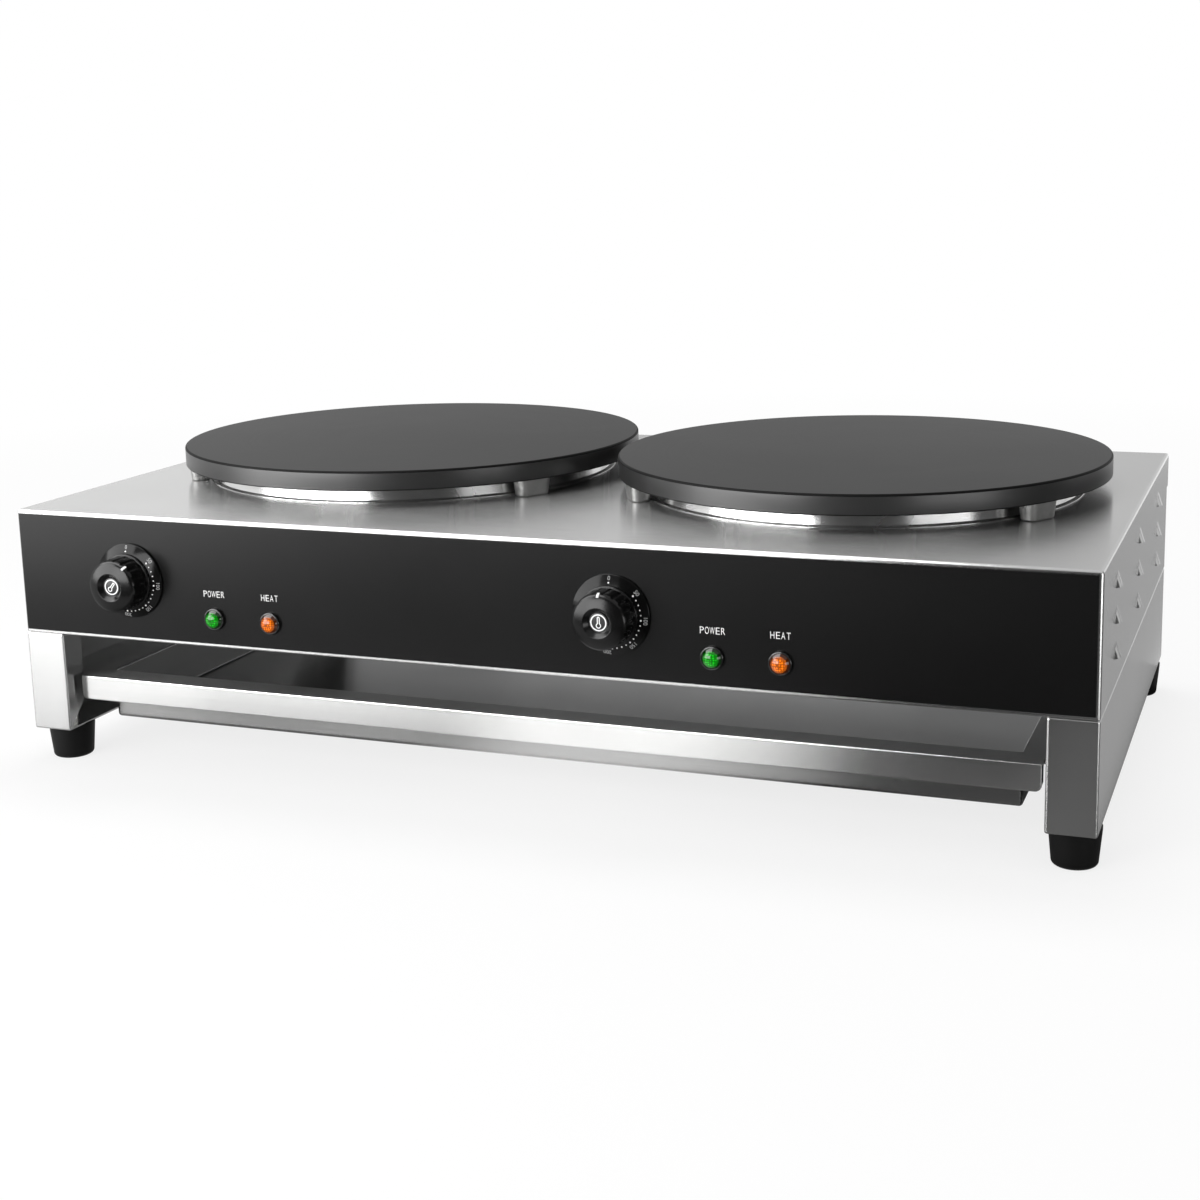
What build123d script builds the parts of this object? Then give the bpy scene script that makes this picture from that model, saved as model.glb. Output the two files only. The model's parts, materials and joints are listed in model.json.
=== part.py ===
from build123d import *
from math import atan2, cos, degrees, radians, sin, sqrt, tan
import os

# Twin-plate electric griddle: two round cast plates on a folded steel housing that stands on two
# folded side stands, with a tray that slides out between them. Millimetres, X to the right, Y to the
# back, Z up. The origin is on the ground, under the middle of the overall box.

# Housing and stand
housing_width = 860.0
housing_depth = 474.0
housing_height = 102.0
stand_height = 82.0
foot_height = 28.0
housing_sheet = 1.5
fold_radius = 2.5
edge_round_ratio = 0.8
lip_overhang = 12.0
lip_height = 29.0
cover_return = 22.0
base_sheet = 1.2
rear_sheet = 1.2
rear_flange = 24.0
stand_sheet = 2.0
leg_width = 35.5
leg_return = 22.0
leg_return_cut = 24.0

# Side louvres, pressed outwards, flush at their tops and open below
louvre_width = 18.0
louvre_height = 11.0
louvre_proud = 3.6
louvre_sheet = 1.0
louvre_columns = 3
louvre_column_pitch = 152.0
louvre_rows = 3
louvre_row_pitch = 25.5
louvre_first_row = 22.0

# Cooking plates and what carries them
plate_diameter = 400.0
plate_thickness = 16.0
plate_gap = 9.0
plate_offset_back = 27.0
plate_lift = 14.0
plate_edge_radius = 1.8
plate_recess_depth = 4.0
lug_radial = 17.0
lug_width = 30.0
lug_corner = 6.0
lug_draft = 5.0
lug_inset = 3.0
lug_turn = 57.0
collar_sheet = 1.2
collar_foot = 4.0
collar_lean = 3.0
stud_diameter = 8.0
stud_depth = 9.0
centre_stud_diameter = 10.0
centre_stud_depth = 7.0

# Heating stack under each plate
element_diameter = 8.0
element_ring_pitch = 50.0
element_edge = 17.0
element_gap = 56.0
element_elbow = 12.0
element_tail = 20.0
clamp_sheet = 2.0
insulation_thickness = 20.0
shield_sheet = 1.0
shield_flange = 16.0
bulb_diameter = 6.0
bulb_length = 60.0
capillary_diameter = 2.0
capillary_bend = 5.0
bulb_lead = 18.0

# Control panel
fascia_thickness = 1.5
fascia_strip = 3.0
fascia_end = 3.0
dial_offset = -119.0
dial_height = 50.0
dial_diameter = 60.0
dial_thickness = 5.0
dial_rim_thickness = 2.2
dial_hole = 16.0
knob_reach = 30.0
knob_base_diameter = 45.0
knob_base_thickness = 3.0
knob_diameter = 42.0
knob_front_radius = 4.0
knob_crown_radius = 55.0
knob_flutes = 18
knob_flute_diameter = 5.0
knob_flute_depth = 0.6
knob_wall = 3.5
knob_hub_diameter = 14.0
knob_recess_diameter = 22.0
knob_recess_depth = 3.5
badge_diameter = 15.0
badge_thickness = 1.0
left_knob_turn = 38.0
shaft_diameter = 6.0
shaft_flat = 1.5
shaft_cover = 4.5
thermostat_width = 44.0
thermostat_depth = 32.0
thermostat_height = 40.0
thermostat_bush_diameter = 11.0
thermostat_bush_reach = 3.0
thermostat_bore_depth = 20.0
thermostat_screw_pitch = 28.0
thermostat_screw_diameter = 4.0
thermostat_screw_length = 8.0
thermostat_screw_head = 7.0
lamp_offsets = (-43.0, 7.0)
lamp_height = 23.5
lamp_flange_diameter = 17.4
lamp_flange_thickness = 3.0
lamp_barrel_diameter = 11.0
lamp_barrel_length = 24.0
lamp_lens_diameter = 15.0
lamp_lens_seat = 2.0
lamp_lens_dome = 4.0
lamp_nut_flats = 14.0
lamp_nut_thickness = 4.0

# Tray and its rails
tray_sheet = 1.2
tray_setback = 14.0
tray_side_gap = 4.0
tray_rim_drop = 38.0
tray_depth = 40.0
tray_lip = 20.0
tray_lip_return = 8.0
tray_lip_corner = 5.0
tray_side_rim = 16.0
tray_front_rim = 22.0
tray_pan_corner = 3.0
rail_sheet = 1.5
rail_web = 20.0
rail_overlap = 10.0
rail_end_gap = 2.0

# Feet
foot_top_diameter = 37.0
foot_bottom_diameter = 32.0
foot_edge_radius = 3.0
foot_setback = 25.0
foot_counterbore_diameter = 13.0
foot_counterbore_depth = 18.0
foot_screw_diameter = 6.0
foot_screw_head = 11.0
foot_screw_head_height = 4.0
foot_nut_flats = 10.0
foot_nut_thickness = 5.0

# Supply side
gland_reach = 26.0
gland_height = 35.0
gland_bore = 9.0
gland_thread = 16.0
gland_tail = 12.0
gland_flats = 24.0
gland_flange = 6.0
gland_cap_diameter = 22.0
gland_cap_length = 14.0
gland_mouth_diameter = 16.0
gland_nut_flats = 22.0
gland_nut_thickness = 4.0
terminal_width = 80.0
terminal_depth = 28.0
terminal_height = 26.0
terminal_setback = 62.0
wire_diameter = 3.0
wire_bend = 7.0

# Fasteners
stand_screw_diameter = 5.0
stand_screw_inset = 14.0
stand_screw_end = 40.0
stand_screws_a_side = 4
rear_screw_diameter = 4.0
rear_screw_pitch = 220.0
rear_screws = 4
screw_head_ratio = 1.8
screw_head_height = 2.4
nut_flats_ratio = 1.65
nut_thickness_ratio = 0.8
thread_past_nut = 2.0

# Clearances
gap = 0.3
running_fit = 0.05
close_fit = 0.02
hole_clearance = 0.3
rest_gap = 0.15
ring_clearance = 1.0

# Levels and planes worked out from the sizes above
z_stand = foot_height
z_base = z_stand + stand_height
z_deck = z_base + housing_height
z_plate = z_deck + plate_lift
z_top = z_plate + plate_thickness
z_base_top = z_base + housing_sheet + base_sheet
overall_depth = knob_reach + housing_depth + gland_reach
y_front = knob_reach - overall_depth / 2
y_back = y_front + housing_depth
y_lip = y_back + lip_overhang
y_fascia = y_front - fascia_thickness
x_wall = housing_width / 2
sides = {"left": -1, "right": 1}

# Cooking plate places and the rings under them
plate_radius = plate_diameter / 2
plate_x = (plate_diameter + plate_gap) / 2
plate_y = (y_front + y_back) / 2 + plate_offset_back
lug_radius = plate_radius - lug_inset - lug_radial / 2
lug_angles = (-90 - lug_turn, -90 + lug_turn, 90)
collar_radius = lug_radius - lug_radial / 2 - ring_clearance
collar_inner = collar_radius - 2 * collar_foot
shield_flange_radius = collar_inner - ring_clearance
shield_radius = shield_flange_radius - shield_flange
deck_opening = shield_radius + ring_clearance
clamp_radius = shield_radius - shield_sheet - ring_clearance
recess_radius = shield_flange_radius - ring_clearance
ring_radii = (clamp_radius - element_edge, clamp_radius - element_edge - element_ring_pitch)

# Heating stack levels, from the plate down
z_ceiling = z_plate + plate_recess_depth
z_element = z_ceiling - rest_gap - element_diameter / 2
z_clamp_top = z_element - element_diameter / 2 - rest_gap
z_insulation_top = z_clamp_top - clamp_sheet
z_shield_floor = z_insulation_top - insulation_thickness
z_shield = z_shield_floor - shield_sheet
z_tail = z_shield - element_tail
z_bulb = z_ceiling - rest_gap - bulb_diameter / 2
bulb_offset = -(ring_radii[0] + ring_radii[1]) / 2

# Control places
z_dial = z_base + dial_height
z_lamp = z_base + lamp_height
y_inner = y_front + housing_sheet
y_dial = y_fascia - dial_thickness
y_knob = y_dial - gap
y_tip = y_front - knob_reach
y_thermostat_back = y_inner + thermostat_depth
z_thermostat_top = z_dial + thermostat_height / 2
z_gland = z_base + gland_height
y_terminal = y_back - terminal_setback

# Tray and stand places
x_leg = x_wall - leg_width
x_tray = x_leg - tray_side_gap
x_pan = x_tray - tray_side_rim
z_rim = z_base - tray_rim_drop
z_rail = z_rim - tray_sheet - rest_gap
y_tray = y_front + tray_setback
y_pan = y_tray + tray_front_rim
y_rail = (y_front + leg_return + rail_end_gap, y_back - leg_return - rail_end_gap)
x_rail = x_tray - rail_overlap
x_foot = x_wall - leg_width / 2
foot_rows = {"front": y_front + foot_setback, "rear": y_back - foot_setback}

# Screw places
x_stand_screw = x_wall - stand_screw_inset
stand_screw_step = (housing_depth - 2 * stand_screw_end) / (stand_screws_a_side - 1)
stand_screw_rows = [y_front + stand_screw_end + i * stand_screw_step for i in range(stand_screws_a_side)]
rear_screw_y = y_back - rear_sheet - rear_flange / 2
rear_screw_columns = [(i - (rear_screws - 1) / 2) * rear_screw_pitch for i in range(rear_screws)]


def block(x, y, z):
    """Box between two limits along each axis, in either order."""
    corner = Pos(sum(x) / 2, sum(y) / 2, sum(z) / 2)
    return corner * Box(abs(x[1] - x[0]), abs(y[1] - y[0]), abs(z[1] - z[0]))


def post(x, y, z, radius):
    """Upright cylinder between two heights."""
    return Pos(x, y, sum(z) / 2) * Cylinder(radius, abs(z[1] - z[0]))


def spindle(x, z, y, radius):
    """Cylinder along Y between two depths."""
    return Pos(x, sum(y) / 2, z) * Rot(90, 0, 0) * Cylinder(radius, abs(y[1] - y[0]))


def hex_nut(flats, thickness, bore):
    """Six-sided nut standing on the ground plane, with its bore upright."""
    nut = extrude(RegularPolygon(flats / 2, 6, major_radius=False), thickness)
    return nut - Cylinder(bore, 3 * thickness)


def facing_front(x, y, z):
    """Plane with its X to the right, its Y up and its Z towards the user."""
    return Plane(origin=(x, y, z), x_dir=(1, 0, 0), z_dir=(0, -1, 0))


def facing_back(x, y, z):
    """Plane on the back of the housing, with its Z away from it."""
    return Plane(origin=(x, y, z), x_dir=(-1, 0, 0), z_dir=(0, 1, 0))


def turned(points):
    """Solid of revolution about local Z from a closed outline of (radius, height) points."""
    outline = Plane.XZ * make_face(Polyline(*points, close=True))
    return revolve(outline, Axis.Z)


def bent_rod(points, diameter, bend):
    """Round rod along straight runs joined by tangent arcs."""
    points = [Vector(*point) for point in points]
    edges = []
    start = points[0]
    for before, corner, after in zip(points, points[1:], points[2:]):
        back = (before - corner).normalized()
        on = (after - corner).normalized()
        half = radians(back.get_angle(on)) / 2
        setback = bend / tan(half)
        middle = corner + (back + on).normalized() * (bend / sin(half) - bend)
        edges.append(Line(start, corner + back * setback))
        edges.append(ThreePointArc(corner + back * setback, middle, corner + on * setback))
        start = corner + on * setback
    edges.append(Line(start, points[-1]))
    path = Wire(edges)
    return sweep(Plane(origin=points[0], z_dir=path % 0) * Circle(diameter / 2), path=path)


def lug_places(centre_x):
    """Upright axis of each lug under the plate at centre_x, with its turn."""
    for angle in lug_angles:
        x = centre_x + lug_radius * cos(radians(angle))
        y = plate_y + lug_radius * sin(radians(angle))
        yield x, y, angle


def element_ends(radius):
    """Places of a ring's two turned-down ends, from the plate's centre."""
    half_gap = element_gap / 2
    along = sqrt(radius**2 - half_gap**2)
    step = element_elbow * along / radius
    drop = element_elbow * half_gap / radius
    return [(side * (half_gap - step), -along - drop) for side in (-1, 1)]


def stack_holes(centre_x, z):
    """Cutters for the bent element ends, the capillary and the centre stud through the heating stack."""
    cutters = [post(centre_x, plate_y, z, centre_stud_diameter / 2 + hole_clearance)]
    slot_width = element_diameter + 2 * hole_clearance
    for radius in ring_radii:
        for (x, y), side in zip(element_ends(radius), (-1, 1)):
            meet = (side * element_gap / 2, -sqrt(radius**2 - element_gap**2 / 4))
            turn = degrees(atan2(meet[1] - y, meet[0] - x))
            middle = Pos(centre_x + (x + meet[0]) / 2, plate_y + (y + meet[1]) / 2, z[0])
            slot = middle * Rot(0, 0, turn) * SlotCenterToCenter(element_elbow, slot_width)
            cutters.append(extrude(slot, z[1] - z[0], dir=(0, 0, 1)))
    y_capillary = plate_y - bulb_length / 2 - bulb_lead
    cutters.append(post(centre_x + bulb_offset, y_capillary, z, capillary_diameter / 2 + hole_clearance))
    return cutters


def panel_holes(y):
    """Cutters through the front for the thermostat bushes and the lamps of both plates."""
    cutters = []
    for side in sides.values():
        dial_x = side * plate_x + dial_offset
        cutters.append(spindle(dial_x, z_dial, y, thermostat_bush_diameter / 2 + hole_clearance))
        for offset in lamp_offsets:
            lamp_x = side * plate_x + offset
            cutters.append(spindle(lamp_x, z_lamp, y, lamp_barrel_diameter / 2 + hole_clearance))
    return cutters


def thermostat_screw_places():
    """Axes of the screws beside each thermostat bush."""
    for side in sides.values():
        for hand in (-1, 1):
            yield side * plate_x + dial_offset + hand * thermostat_screw_pitch / 2, z_dial


def stand_screw_holes(z):
    """Cutters for the screws that hold the stands, the cover and the base together."""
    radius = stand_screw_diameter / 2 + hole_clearance
    return [post(side * x_stand_screw, y, z, radius) for side in sides.values() for y in stand_screw_rows]


def louvres():
    """Pressed scoops of both side walls, as shells to add and hollows to cut."""
    foot_radius = (louvre_width**2 / 4 + louvre_proud**2) / (2 * louvre_proud)
    head_radius = foot_radius - 2 * louvre_proud
    middle_y = (y_front + y_back) / 2
    shells = []
    hollows = []
    for side in sides.values():
        for column in range(louvre_columns):
            y = middle_y + (column - (louvre_columns - 1) / 2) * louvre_column_pitch
            for row in range(louvre_rows):
                z = z_base + louvre_first_row + row * louvre_row_pitch
                centre = Pos(side * (x_wall + louvre_proud - foot_radius), y, z + louvre_height)
                outside = (side * (x_wall - housing_sheet / 2), side * (x_wall + 2 * louvre_proud))
                through = (side * (x_wall - 2 * housing_sheet), side * (x_wall + 2 * louvre_proud))
                across = (y - louvre_width, y + louvre_width)
                above = (z, z + louvre_height)
                scoop = centre * Cone(foot_radius, head_radius, 2 * louvre_height)
                inner_radii = (foot_radius - louvre_sheet, head_radius - louvre_sheet)
                inner = centre * Cone(*inner_radii, 2 * louvre_height)
                shells.append((scoop - inner) & block(outside, across, above))
                hollows.append(inner & block(through, across, above))
    return shells, hollows


def housing_cover():
    """Deck, front, side walls and rear lip, folded from one sheet and open at the back and below."""
    outline = [
        (y_front, z_base),
        (y_front, z_deck),
        (y_lip, z_deck),
        (y_lip, z_deck - lip_height),
        (y_back, z_deck - lip_height),
        (y_back, z_base),
    ]
    cover = extrude(Plane.YZ * make_face(Polyline(*outline, close=True)), x_wall, both=True)
    upright = cover.edges().filter_by(Axis.Z).group_by(Axis.Y)
    cover = fillet(cover.edges().group_by(Axis.Z)[-1] + upright[0] + upright[-1], fold_radius)
    edge_round = edge_round_ratio * housing_sheet
    cover = fillet(cover.edges().group_by(Axis.Z)[0], edge_round)
    inside = (housing_sheet - x_wall, x_wall - housing_sheet)
    z_ceiling_inside = z_deck - housing_sheet
    cover -= block(inside, (y_inner, y_back + housing_sheet), (z_base - housing_sheet, z_ceiling_inside))
    lip_bottom = z_deck - lip_height - housing_sheet
    cover -= block(inside, (y_back - housing_sheet, y_lip - housing_sheet), (lip_bottom, z_ceiling_inside))
    z_return = (z_base, z_base + housing_sheet)
    x_relief = x_wall - fold_radius
    for side in sides.values():
        x_return = (side * (x_wall - cover_return), side * (x_wall - edge_round))
        cover += block(x_return, (y_front + fold_radius, y_back), z_return)
    cover += block((-x_relief, x_relief), (y_front + edge_round, y_front + cover_return), z_return)
    through_front = (y_front - housing_sheet, y_front + 2 * housing_sheet)
    cutters = panel_holes(through_front)
    for x, z in thermostat_screw_places():
        cutters.append(spindle(x, z, through_front, thermostat_screw_diameter / 2 + hole_clearance))
    through_deck = (z_deck - 2 * housing_sheet, z_deck + housing_sheet)
    for side in sides.values():
        cutters.append(post(side * plate_x, plate_y, through_deck, deck_opening))
        for x, y, turn in lug_places(side * plate_x):
            cutters.append(post(x, y, through_deck, stud_diameter / 2 + hole_clearance))
    cutters += stand_screw_holes((z_base - housing_sheet, z_base + 2 * housing_sheet))
    shells, hollows = louvres()
    return cover - cutters - hollows + shells


def fascia_panel():
    """Black panel laid on the front of the cover."""
    x_end = x_wall - fascia_end
    panel = block((-x_end, x_end), (y_fascia, y_front), (z_base + fascia_strip, z_deck - fascia_strip))
    through = (y_fascia - fascia_thickness, y_front + fascia_thickness)
    cutters = panel_holes(through)
    for x, z in thermostat_screw_places():
        cutters.append(spindle(x, z, through, thermostat_screw_head / 2 + hole_clearance))
    return panel - cutters


def base_plate():
    """Sheet that closes the housing below, laid on the returns of the cover."""
    x_end = x_wall - housing_sheet - gap
    y_ends = (y_inner + gap, y_back - rear_sheet - gap)
    sheet = block((-x_end, x_end), y_ends, (z_base + housing_sheet, z_base_top))
    through = (z_base, z_base_top + base_sheet)
    cutters = stand_screw_holes(through)
    for x in rear_screw_columns:
        cutters.append(post(x, rear_screw_y, through, rear_screw_diameter / 2 + hole_clearance))
    return sheet - cutters


def rear_panel():
    """Upright back sheet with a flange that lies on the base plate."""
    x_end = x_wall - housing_sheet - gap
    height = (z_base + housing_sheet, z_deck - housing_sheet - gap)
    panel = block((-x_end, x_end), (y_back - rear_sheet, y_back), height)
    flange_y = (y_back - rear_sheet - rear_flange, y_back - rear_sheet / 2)
    panel += block((-x_end, x_end), flange_y, (z_base_top, z_base_top + rear_sheet))
    through_back = (y_back - 2 * rear_sheet, y_back + rear_sheet)
    cutters = []
    for side in sides.values():
        cutters.append(spindle(side * plate_x, z_gland, through_back, gland_thread / 2 + hole_clearance))
    for x in rear_screw_columns:
        through_flange = (z_base_top - rear_sheet, z_base_top + 2 * rear_sheet)
        cutters.append(post(x, rear_screw_y, through_flange, rear_screw_diameter / 2 + close_fit))
    return panel - cutters


def stand(side):
    """One side of the stand: outer wall, front and back faces with returns, flanges above and below."""
    outer = side * x_wall
    inner = side * x_leg
    body = block((outer, inner), (y_front, y_back), (z_stand, z_base))
    body = fillet(body.edges().filter_by(Axis.Z), stand_sheet)
    levels = body.edges().group_by(Axis.Z)
    body = fillet(levels[0] + levels[-1], edge_round_ratio * stand_sheet)
    x_hollow = (outer - side * stand_sheet, inner + side * stand_sheet)
    y_hollow = (y_front + stand_sheet, y_back - stand_sheet)
    z_hollow = (z_stand + stand_sheet, z_base - stand_sheet)
    body -= block(x_hollow, y_hollow, z_hollow)
    y_mouth = (y_front + leg_return, y_back - leg_return)
    mouth = [(y_hollow[0], z_hollow[0])]
    mouth += [(y_mouth[0], z) for z in (z_stand + leg_return_cut, z_hollow[1])]
    mouth += [(y_mouth[1], z) for z in (z_hollow[1], z_stand + leg_return_cut)]
    mouth += [(y_hollow[1], z_hollow[0])]
    opening = extrude(Plane.YZ * make_face(Polyline(*mouth, close=True)), 2 * stand_sheet, both=True)
    cutters = [Pos(inner, 0, 0) * opening]
    cutters += stand_screw_holes((z_base - 2 * stand_sheet, z_base + stand_sheet))
    for y in foot_rows.values():
        flange = (z_stand - stand_sheet, z_stand + 2 * stand_sheet)
        cutters.append(post(side * x_foot, y, flange, foot_screw_diameter / 2 + hole_clearance))
    return body - cutters


def tray_rail(side):
    """Angle on the inside of a stand that carries one rim of the tray."""
    wall = side * (x_wall - stand_sheet)
    rail = block((wall, wall - side * rail_sheet), y_rail, (z_rail - rail_web, z_rail))
    return rail + block((wall, side * x_rail), y_rail, (z_rail - rail_sheet, z_rail))


def in_pan_mouth(point):
    """Whether a point lies on or inside the mouth of the tray's pan."""
    return abs(point.X) < x_pan and y_pan < point.Y < y_rail[1] - tray_side_rim


def drip_tray():
    """Folded pan with a flat rim all round and a lip down the front."""
    y_end = y_rail[1]
    y_pan_end = y_end - tray_side_rim
    z_floor = z_rim - tray_depth
    pan = block((-x_pan, x_pan), (y_pan, y_pan_end), (z_floor, z_rim))
    edges = pan.edges().filter_by(Axis.Z) + pan.edges().group_by(Axis.Z)[0]
    pan = fillet(edges, tray_pan_corner)
    pan += block((-x_tray, x_tray), (y_tray, y_end), (z_rim - tray_sheet, z_rim))
    lip = block((-x_tray, x_tray), (y_tray, y_tray + tray_sheet), (z_rim - tray_lip, z_rim))
    lip = fillet(lip.edges().filter_by(Axis.Y).group_by(Axis.Z)[0], tray_lip_corner)
    pan += lip
    for side in sides.values():
        ends = (side * x_tray, side * (x_tray - tray_sheet))
        z_lip_end = z_rim - tray_lip + tray_lip_corner
        pan += block(ends, (y_tray, y_tray + tray_lip_return), (z_lip_end, z_rim))
    hollow_x = x_pan - tray_sheet
    hollow_y = (y_pan + tray_sheet, y_pan_end - tray_sheet)
    hollow = block((-hollow_x, hollow_x), hollow_y, (z_floor + tray_sheet, z_rim + tray_depth))
    hollow_edges = hollow.edges().filter_by(Axis.Z) + hollow.edges().group_by(Axis.Z)[0]
    pan -= fillet(hollow_edges, tray_pan_corner - tray_sheet)
    folds = pan.edges().group_by(Axis.Z)[-1].filter_by(lambda edge: edge.center().Y < y_tray + close_fit)
    folds += pan.edges().filter_by(Axis.Z).group_by(Axis.Y)[0]
    inner = pan.edges().group_by(Axis.Z)[-1].filter_by(lambda edge: in_pan_mouth(edge.center()))
    return fillet(folds + inner, edge_round_ratio * tray_sheet)


def foot(side, row):
    """Tapered rubber foot with a recess below for its screw."""
    top = foot_top_diameter / 2
    bottom = foot_bottom_diameter / 2
    body = turned([(0, 0), (bottom, 0), (top, foot_height), (0, foot_height)])
    body = fillet(body.edges().group_by(Axis.Z)[0], foot_edge_radius)
    body -= post(0, 0, (-gap, foot_counterbore_depth), foot_counterbore_diameter / 2)
    body -= post(0, 0, (0, 2 * foot_height), foot_screw_diameter / 2 + hole_clearance)
    return Pos(side * x_foot, foot_rows[row], 0) * body


def foot_places():
    """Axis of each foot."""
    return [(side * x_foot, y) for side in sides.values() for y in foot_rows.values()]


def foot_screw(x, y):
    """Screw up through a foot and the flange of the stand."""
    z_seat = foot_counterbore_depth
    head = post(x, y, (z_seat - foot_screw_head_height, z_seat), foot_screw_head / 2)
    z_end = z_stand + stand_sheet + foot_nut_thickness + thread_past_nut
    return head + post(x, y, (z_seat - foot_screw_head_height, z_end), foot_screw_diameter / 2)


def foot_nut(x, y):
    """Nut on a foot screw, on the flange of the stand."""
    nut = hex_nut(foot_nut_flats, foot_nut_thickness, foot_screw_diameter / 2 + close_fit)
    return Pos(x, y, z_stand + stand_sheet) * nut


def griddle_plate(centre_x):
    """Round cast plate with a shallow recess below for the element."""
    plate = post(centre_x, plate_y, (z_plate, z_top), plate_radius)
    plate = fillet(plate.edges().filter_by(GeomType.CIRCLE), plate_edge_radius)
    cutters = [post(centre_x, plate_y, (z_plate - plate_recess_depth, z_ceiling), recess_radius)]
    stud_end = z_ceiling + centre_stud_depth
    cutters.append(post(centre_x, plate_y, (z_plate, stud_end), centre_stud_diameter / 2 + close_fit))
    for x, y, turn in lug_places(centre_x):
        hole = (z_plate - stud_depth, z_plate + stud_depth)
        cutters.append(post(x, y, hole, stud_diameter / 2 + close_fit))
    return plate - cutters


def plate_lugs(centre_x):
    """Cast blocks that hold the plate off the deck."""
    lugs = []
    for x, y, turn in lug_places(centre_x):
        top = Pos(x, y, z_plate) * Rot(0, 0, turn) * RectangleRounded(lug_radial, lug_width, lug_corner)
        lug = extrude(top, plate_lift, dir=(0, 0, -1), taper=lug_draft)
        through = (z_deck - plate_lift, z_plate + plate_lift)
        lugs.append(lug - post(x, y, through, stud_diameter / 2 + hole_clearance))
    return Compound(children=lugs)


def collar(centre_x):
    """Drawn ring on the deck that keeps spills out of the heating stack."""
    top = plate_lift - gap
    wall = collar_radius - collar_foot
    outline = [
        (collar_inner, 0),
        (collar_radius, 0),
        (collar_radius, collar_sheet),
        (wall + collar_sheet, collar_sheet),
        (wall + collar_sheet - collar_lean, top),
        (wall - collar_lean, top),
        (wall, collar_sheet),
        (collar_inner, collar_sheet),
    ]
    return Pos(centre_x, plate_y, z_deck) * turned(outline)


def element_ring(radius):
    """Tubular element bent into one open ring with both ends turned down."""
    (left_x, left_y), (right_x, right_y) = element_ends(radius)
    half_gap = element_gap / 2
    along = sqrt(radius**2 - half_gap**2)
    low = z_element - element_elbow
    lean = element_elbow * (1 - sqrt(0.5))
    edges = [Line((left_x, left_y, z_tail), (left_x, left_y, low))]
    ends = []
    for x, y, side in ((left_x, left_y, -1), (right_x, right_y, 1)):
        meet = Vector(side * half_gap, -along, z_element)
        outward = Vector(side * half_gap - x, -along - y, 0).normalized()
        middle = Vector(x, y, low) + outward * lean + Vector(0, 0, element_elbow - lean)
        ends.append((Vector(x, y, low), middle, meet))
    edges.append(ThreePointArc(*ends[0]))
    edges.append(ThreePointArc(ends[0][2], (0, radius, z_element), ends[1][2]))
    edges.append(ThreePointArc(ends[1][2], ends[1][1], ends[1][0]))
    edges.append(Line((right_x, right_y, low), (right_x, right_y, z_tail)))
    profile = Plane(origin=(left_x, left_y, z_tail)) * Circle(element_diameter / 2)
    return sweep(profile, path=Wire(edges))


def heating_element(centre_x):
    """Both element rings under one plate."""
    return Compound(children=[Pos(centre_x, plate_y, 0) * element_ring(radius) for radius in ring_radii])


def element_clamp(centre_x):
    """Pressed disc that holds the element against the plate."""
    z = (z_insulation_top, z_clamp_top)
    return post(centre_x, plate_y, z, clamp_radius) - stack_holes(centre_x, (z[0] - gap, z[1] + gap))


def insulation_pad(centre_x):
    """Mineral fibre disc under the clamp."""
    z = (z_shield_floor, z_insulation_top)
    return post(centre_x, plate_y, z, clamp_radius) - stack_holes(centre_x, (z[0] - gap, z[1] + gap))


def heat_shield(centre_x):
    """Dish that hangs from the edge of the deck opening and holds the stack."""
    z_rim_top = z_deck + shield_sheet
    inner = shield_radius - shield_sheet
    outline = [
        (0, z_shield),
        (shield_radius, z_shield),
        (shield_radius, z_deck),
        (shield_flange_radius, z_deck),
        (shield_flange_radius, z_rim_top),
        (inner, z_rim_top),
        (inner, z_shield_floor),
        (0, z_shield_floor),
    ]
    dish = Pos(centre_x, plate_y, 0) * turned(outline)
    return dish - stack_holes(centre_x, (z_shield - gap, z_shield_floor + gap))


def sensor(centre_x):
    """Bulb under the plate with its capillary tube down to the thermostat."""
    x = centre_x + bulb_offset
    y_bulb = plate_y - bulb_length / 2
    y_down = y_bulb - bulb_lead
    y_end = (y_inner + y_thermostat_back) / 2
    z_run = (z_shield + z_thermostat_top) / 2
    bulb = spindle(x, z_bulb, (y_bulb, y_bulb + bulb_length), bulb_diameter / 2)
    route = [
        (x, y_bulb + bulb_diameter, z_bulb),
        (x, y_down, z_bulb),
        (x, y_down, z_run),
        (x, y_end, z_run),
        (x, y_end, z_thermostat_top),
    ]
    return bulb + bent_rod(route, capillary_diameter, capillary_bend)


def thermostat(centre_x):
    """Control behind the panel, with the bush its shaft turns in."""
    x = centre_x + dial_offset
    half = thermostat_width / 2
    z = (z_dial - thermostat_height / 2, z_thermostat_top)
    body = block((x - half, x + half), (y_inner, y_thermostat_back), z)
    body += spindle(x, z_dial, (y_fascia - thermostat_bush_reach, y_inner), thermostat_bush_diameter / 2)
    bore = (y_fascia - 2 * thermostat_bush_reach, y_inner + thermostat_bore_depth)
    cutters = [spindle(x, z_dial, bore, shaft_diameter / 2 + running_fit)]
    for hand in (-1, 1):
        screw_x = x + hand * thermostat_screw_pitch / 2
        hole = (y_front, y_inner + thermostat_screw_length + gap)
        cutters.append(spindle(screw_x, z_dial, hole, thermostat_screw_diameter / 2 + close_fit))
    return body - cutters


def thermostat_screw(x, z):
    """Screw through the front into a thermostat, under the dial ring."""
    head_y = y_front - fascia_thickness + gap
    head = spindle(x, z, (head_y, y_front), thermostat_screw_head / 2)
    end = y_inner + thermostat_screw_length
    return head + spindle(x, z, (head_y, end), thermostat_screw_diameter / 2)


def dial_places():
    """Side, dial axis and resting turn of each control."""
    for name, side in sides.items():
        yield name, side * plate_x + dial_offset, left_knob_turn if name == "left" else 0


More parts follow.
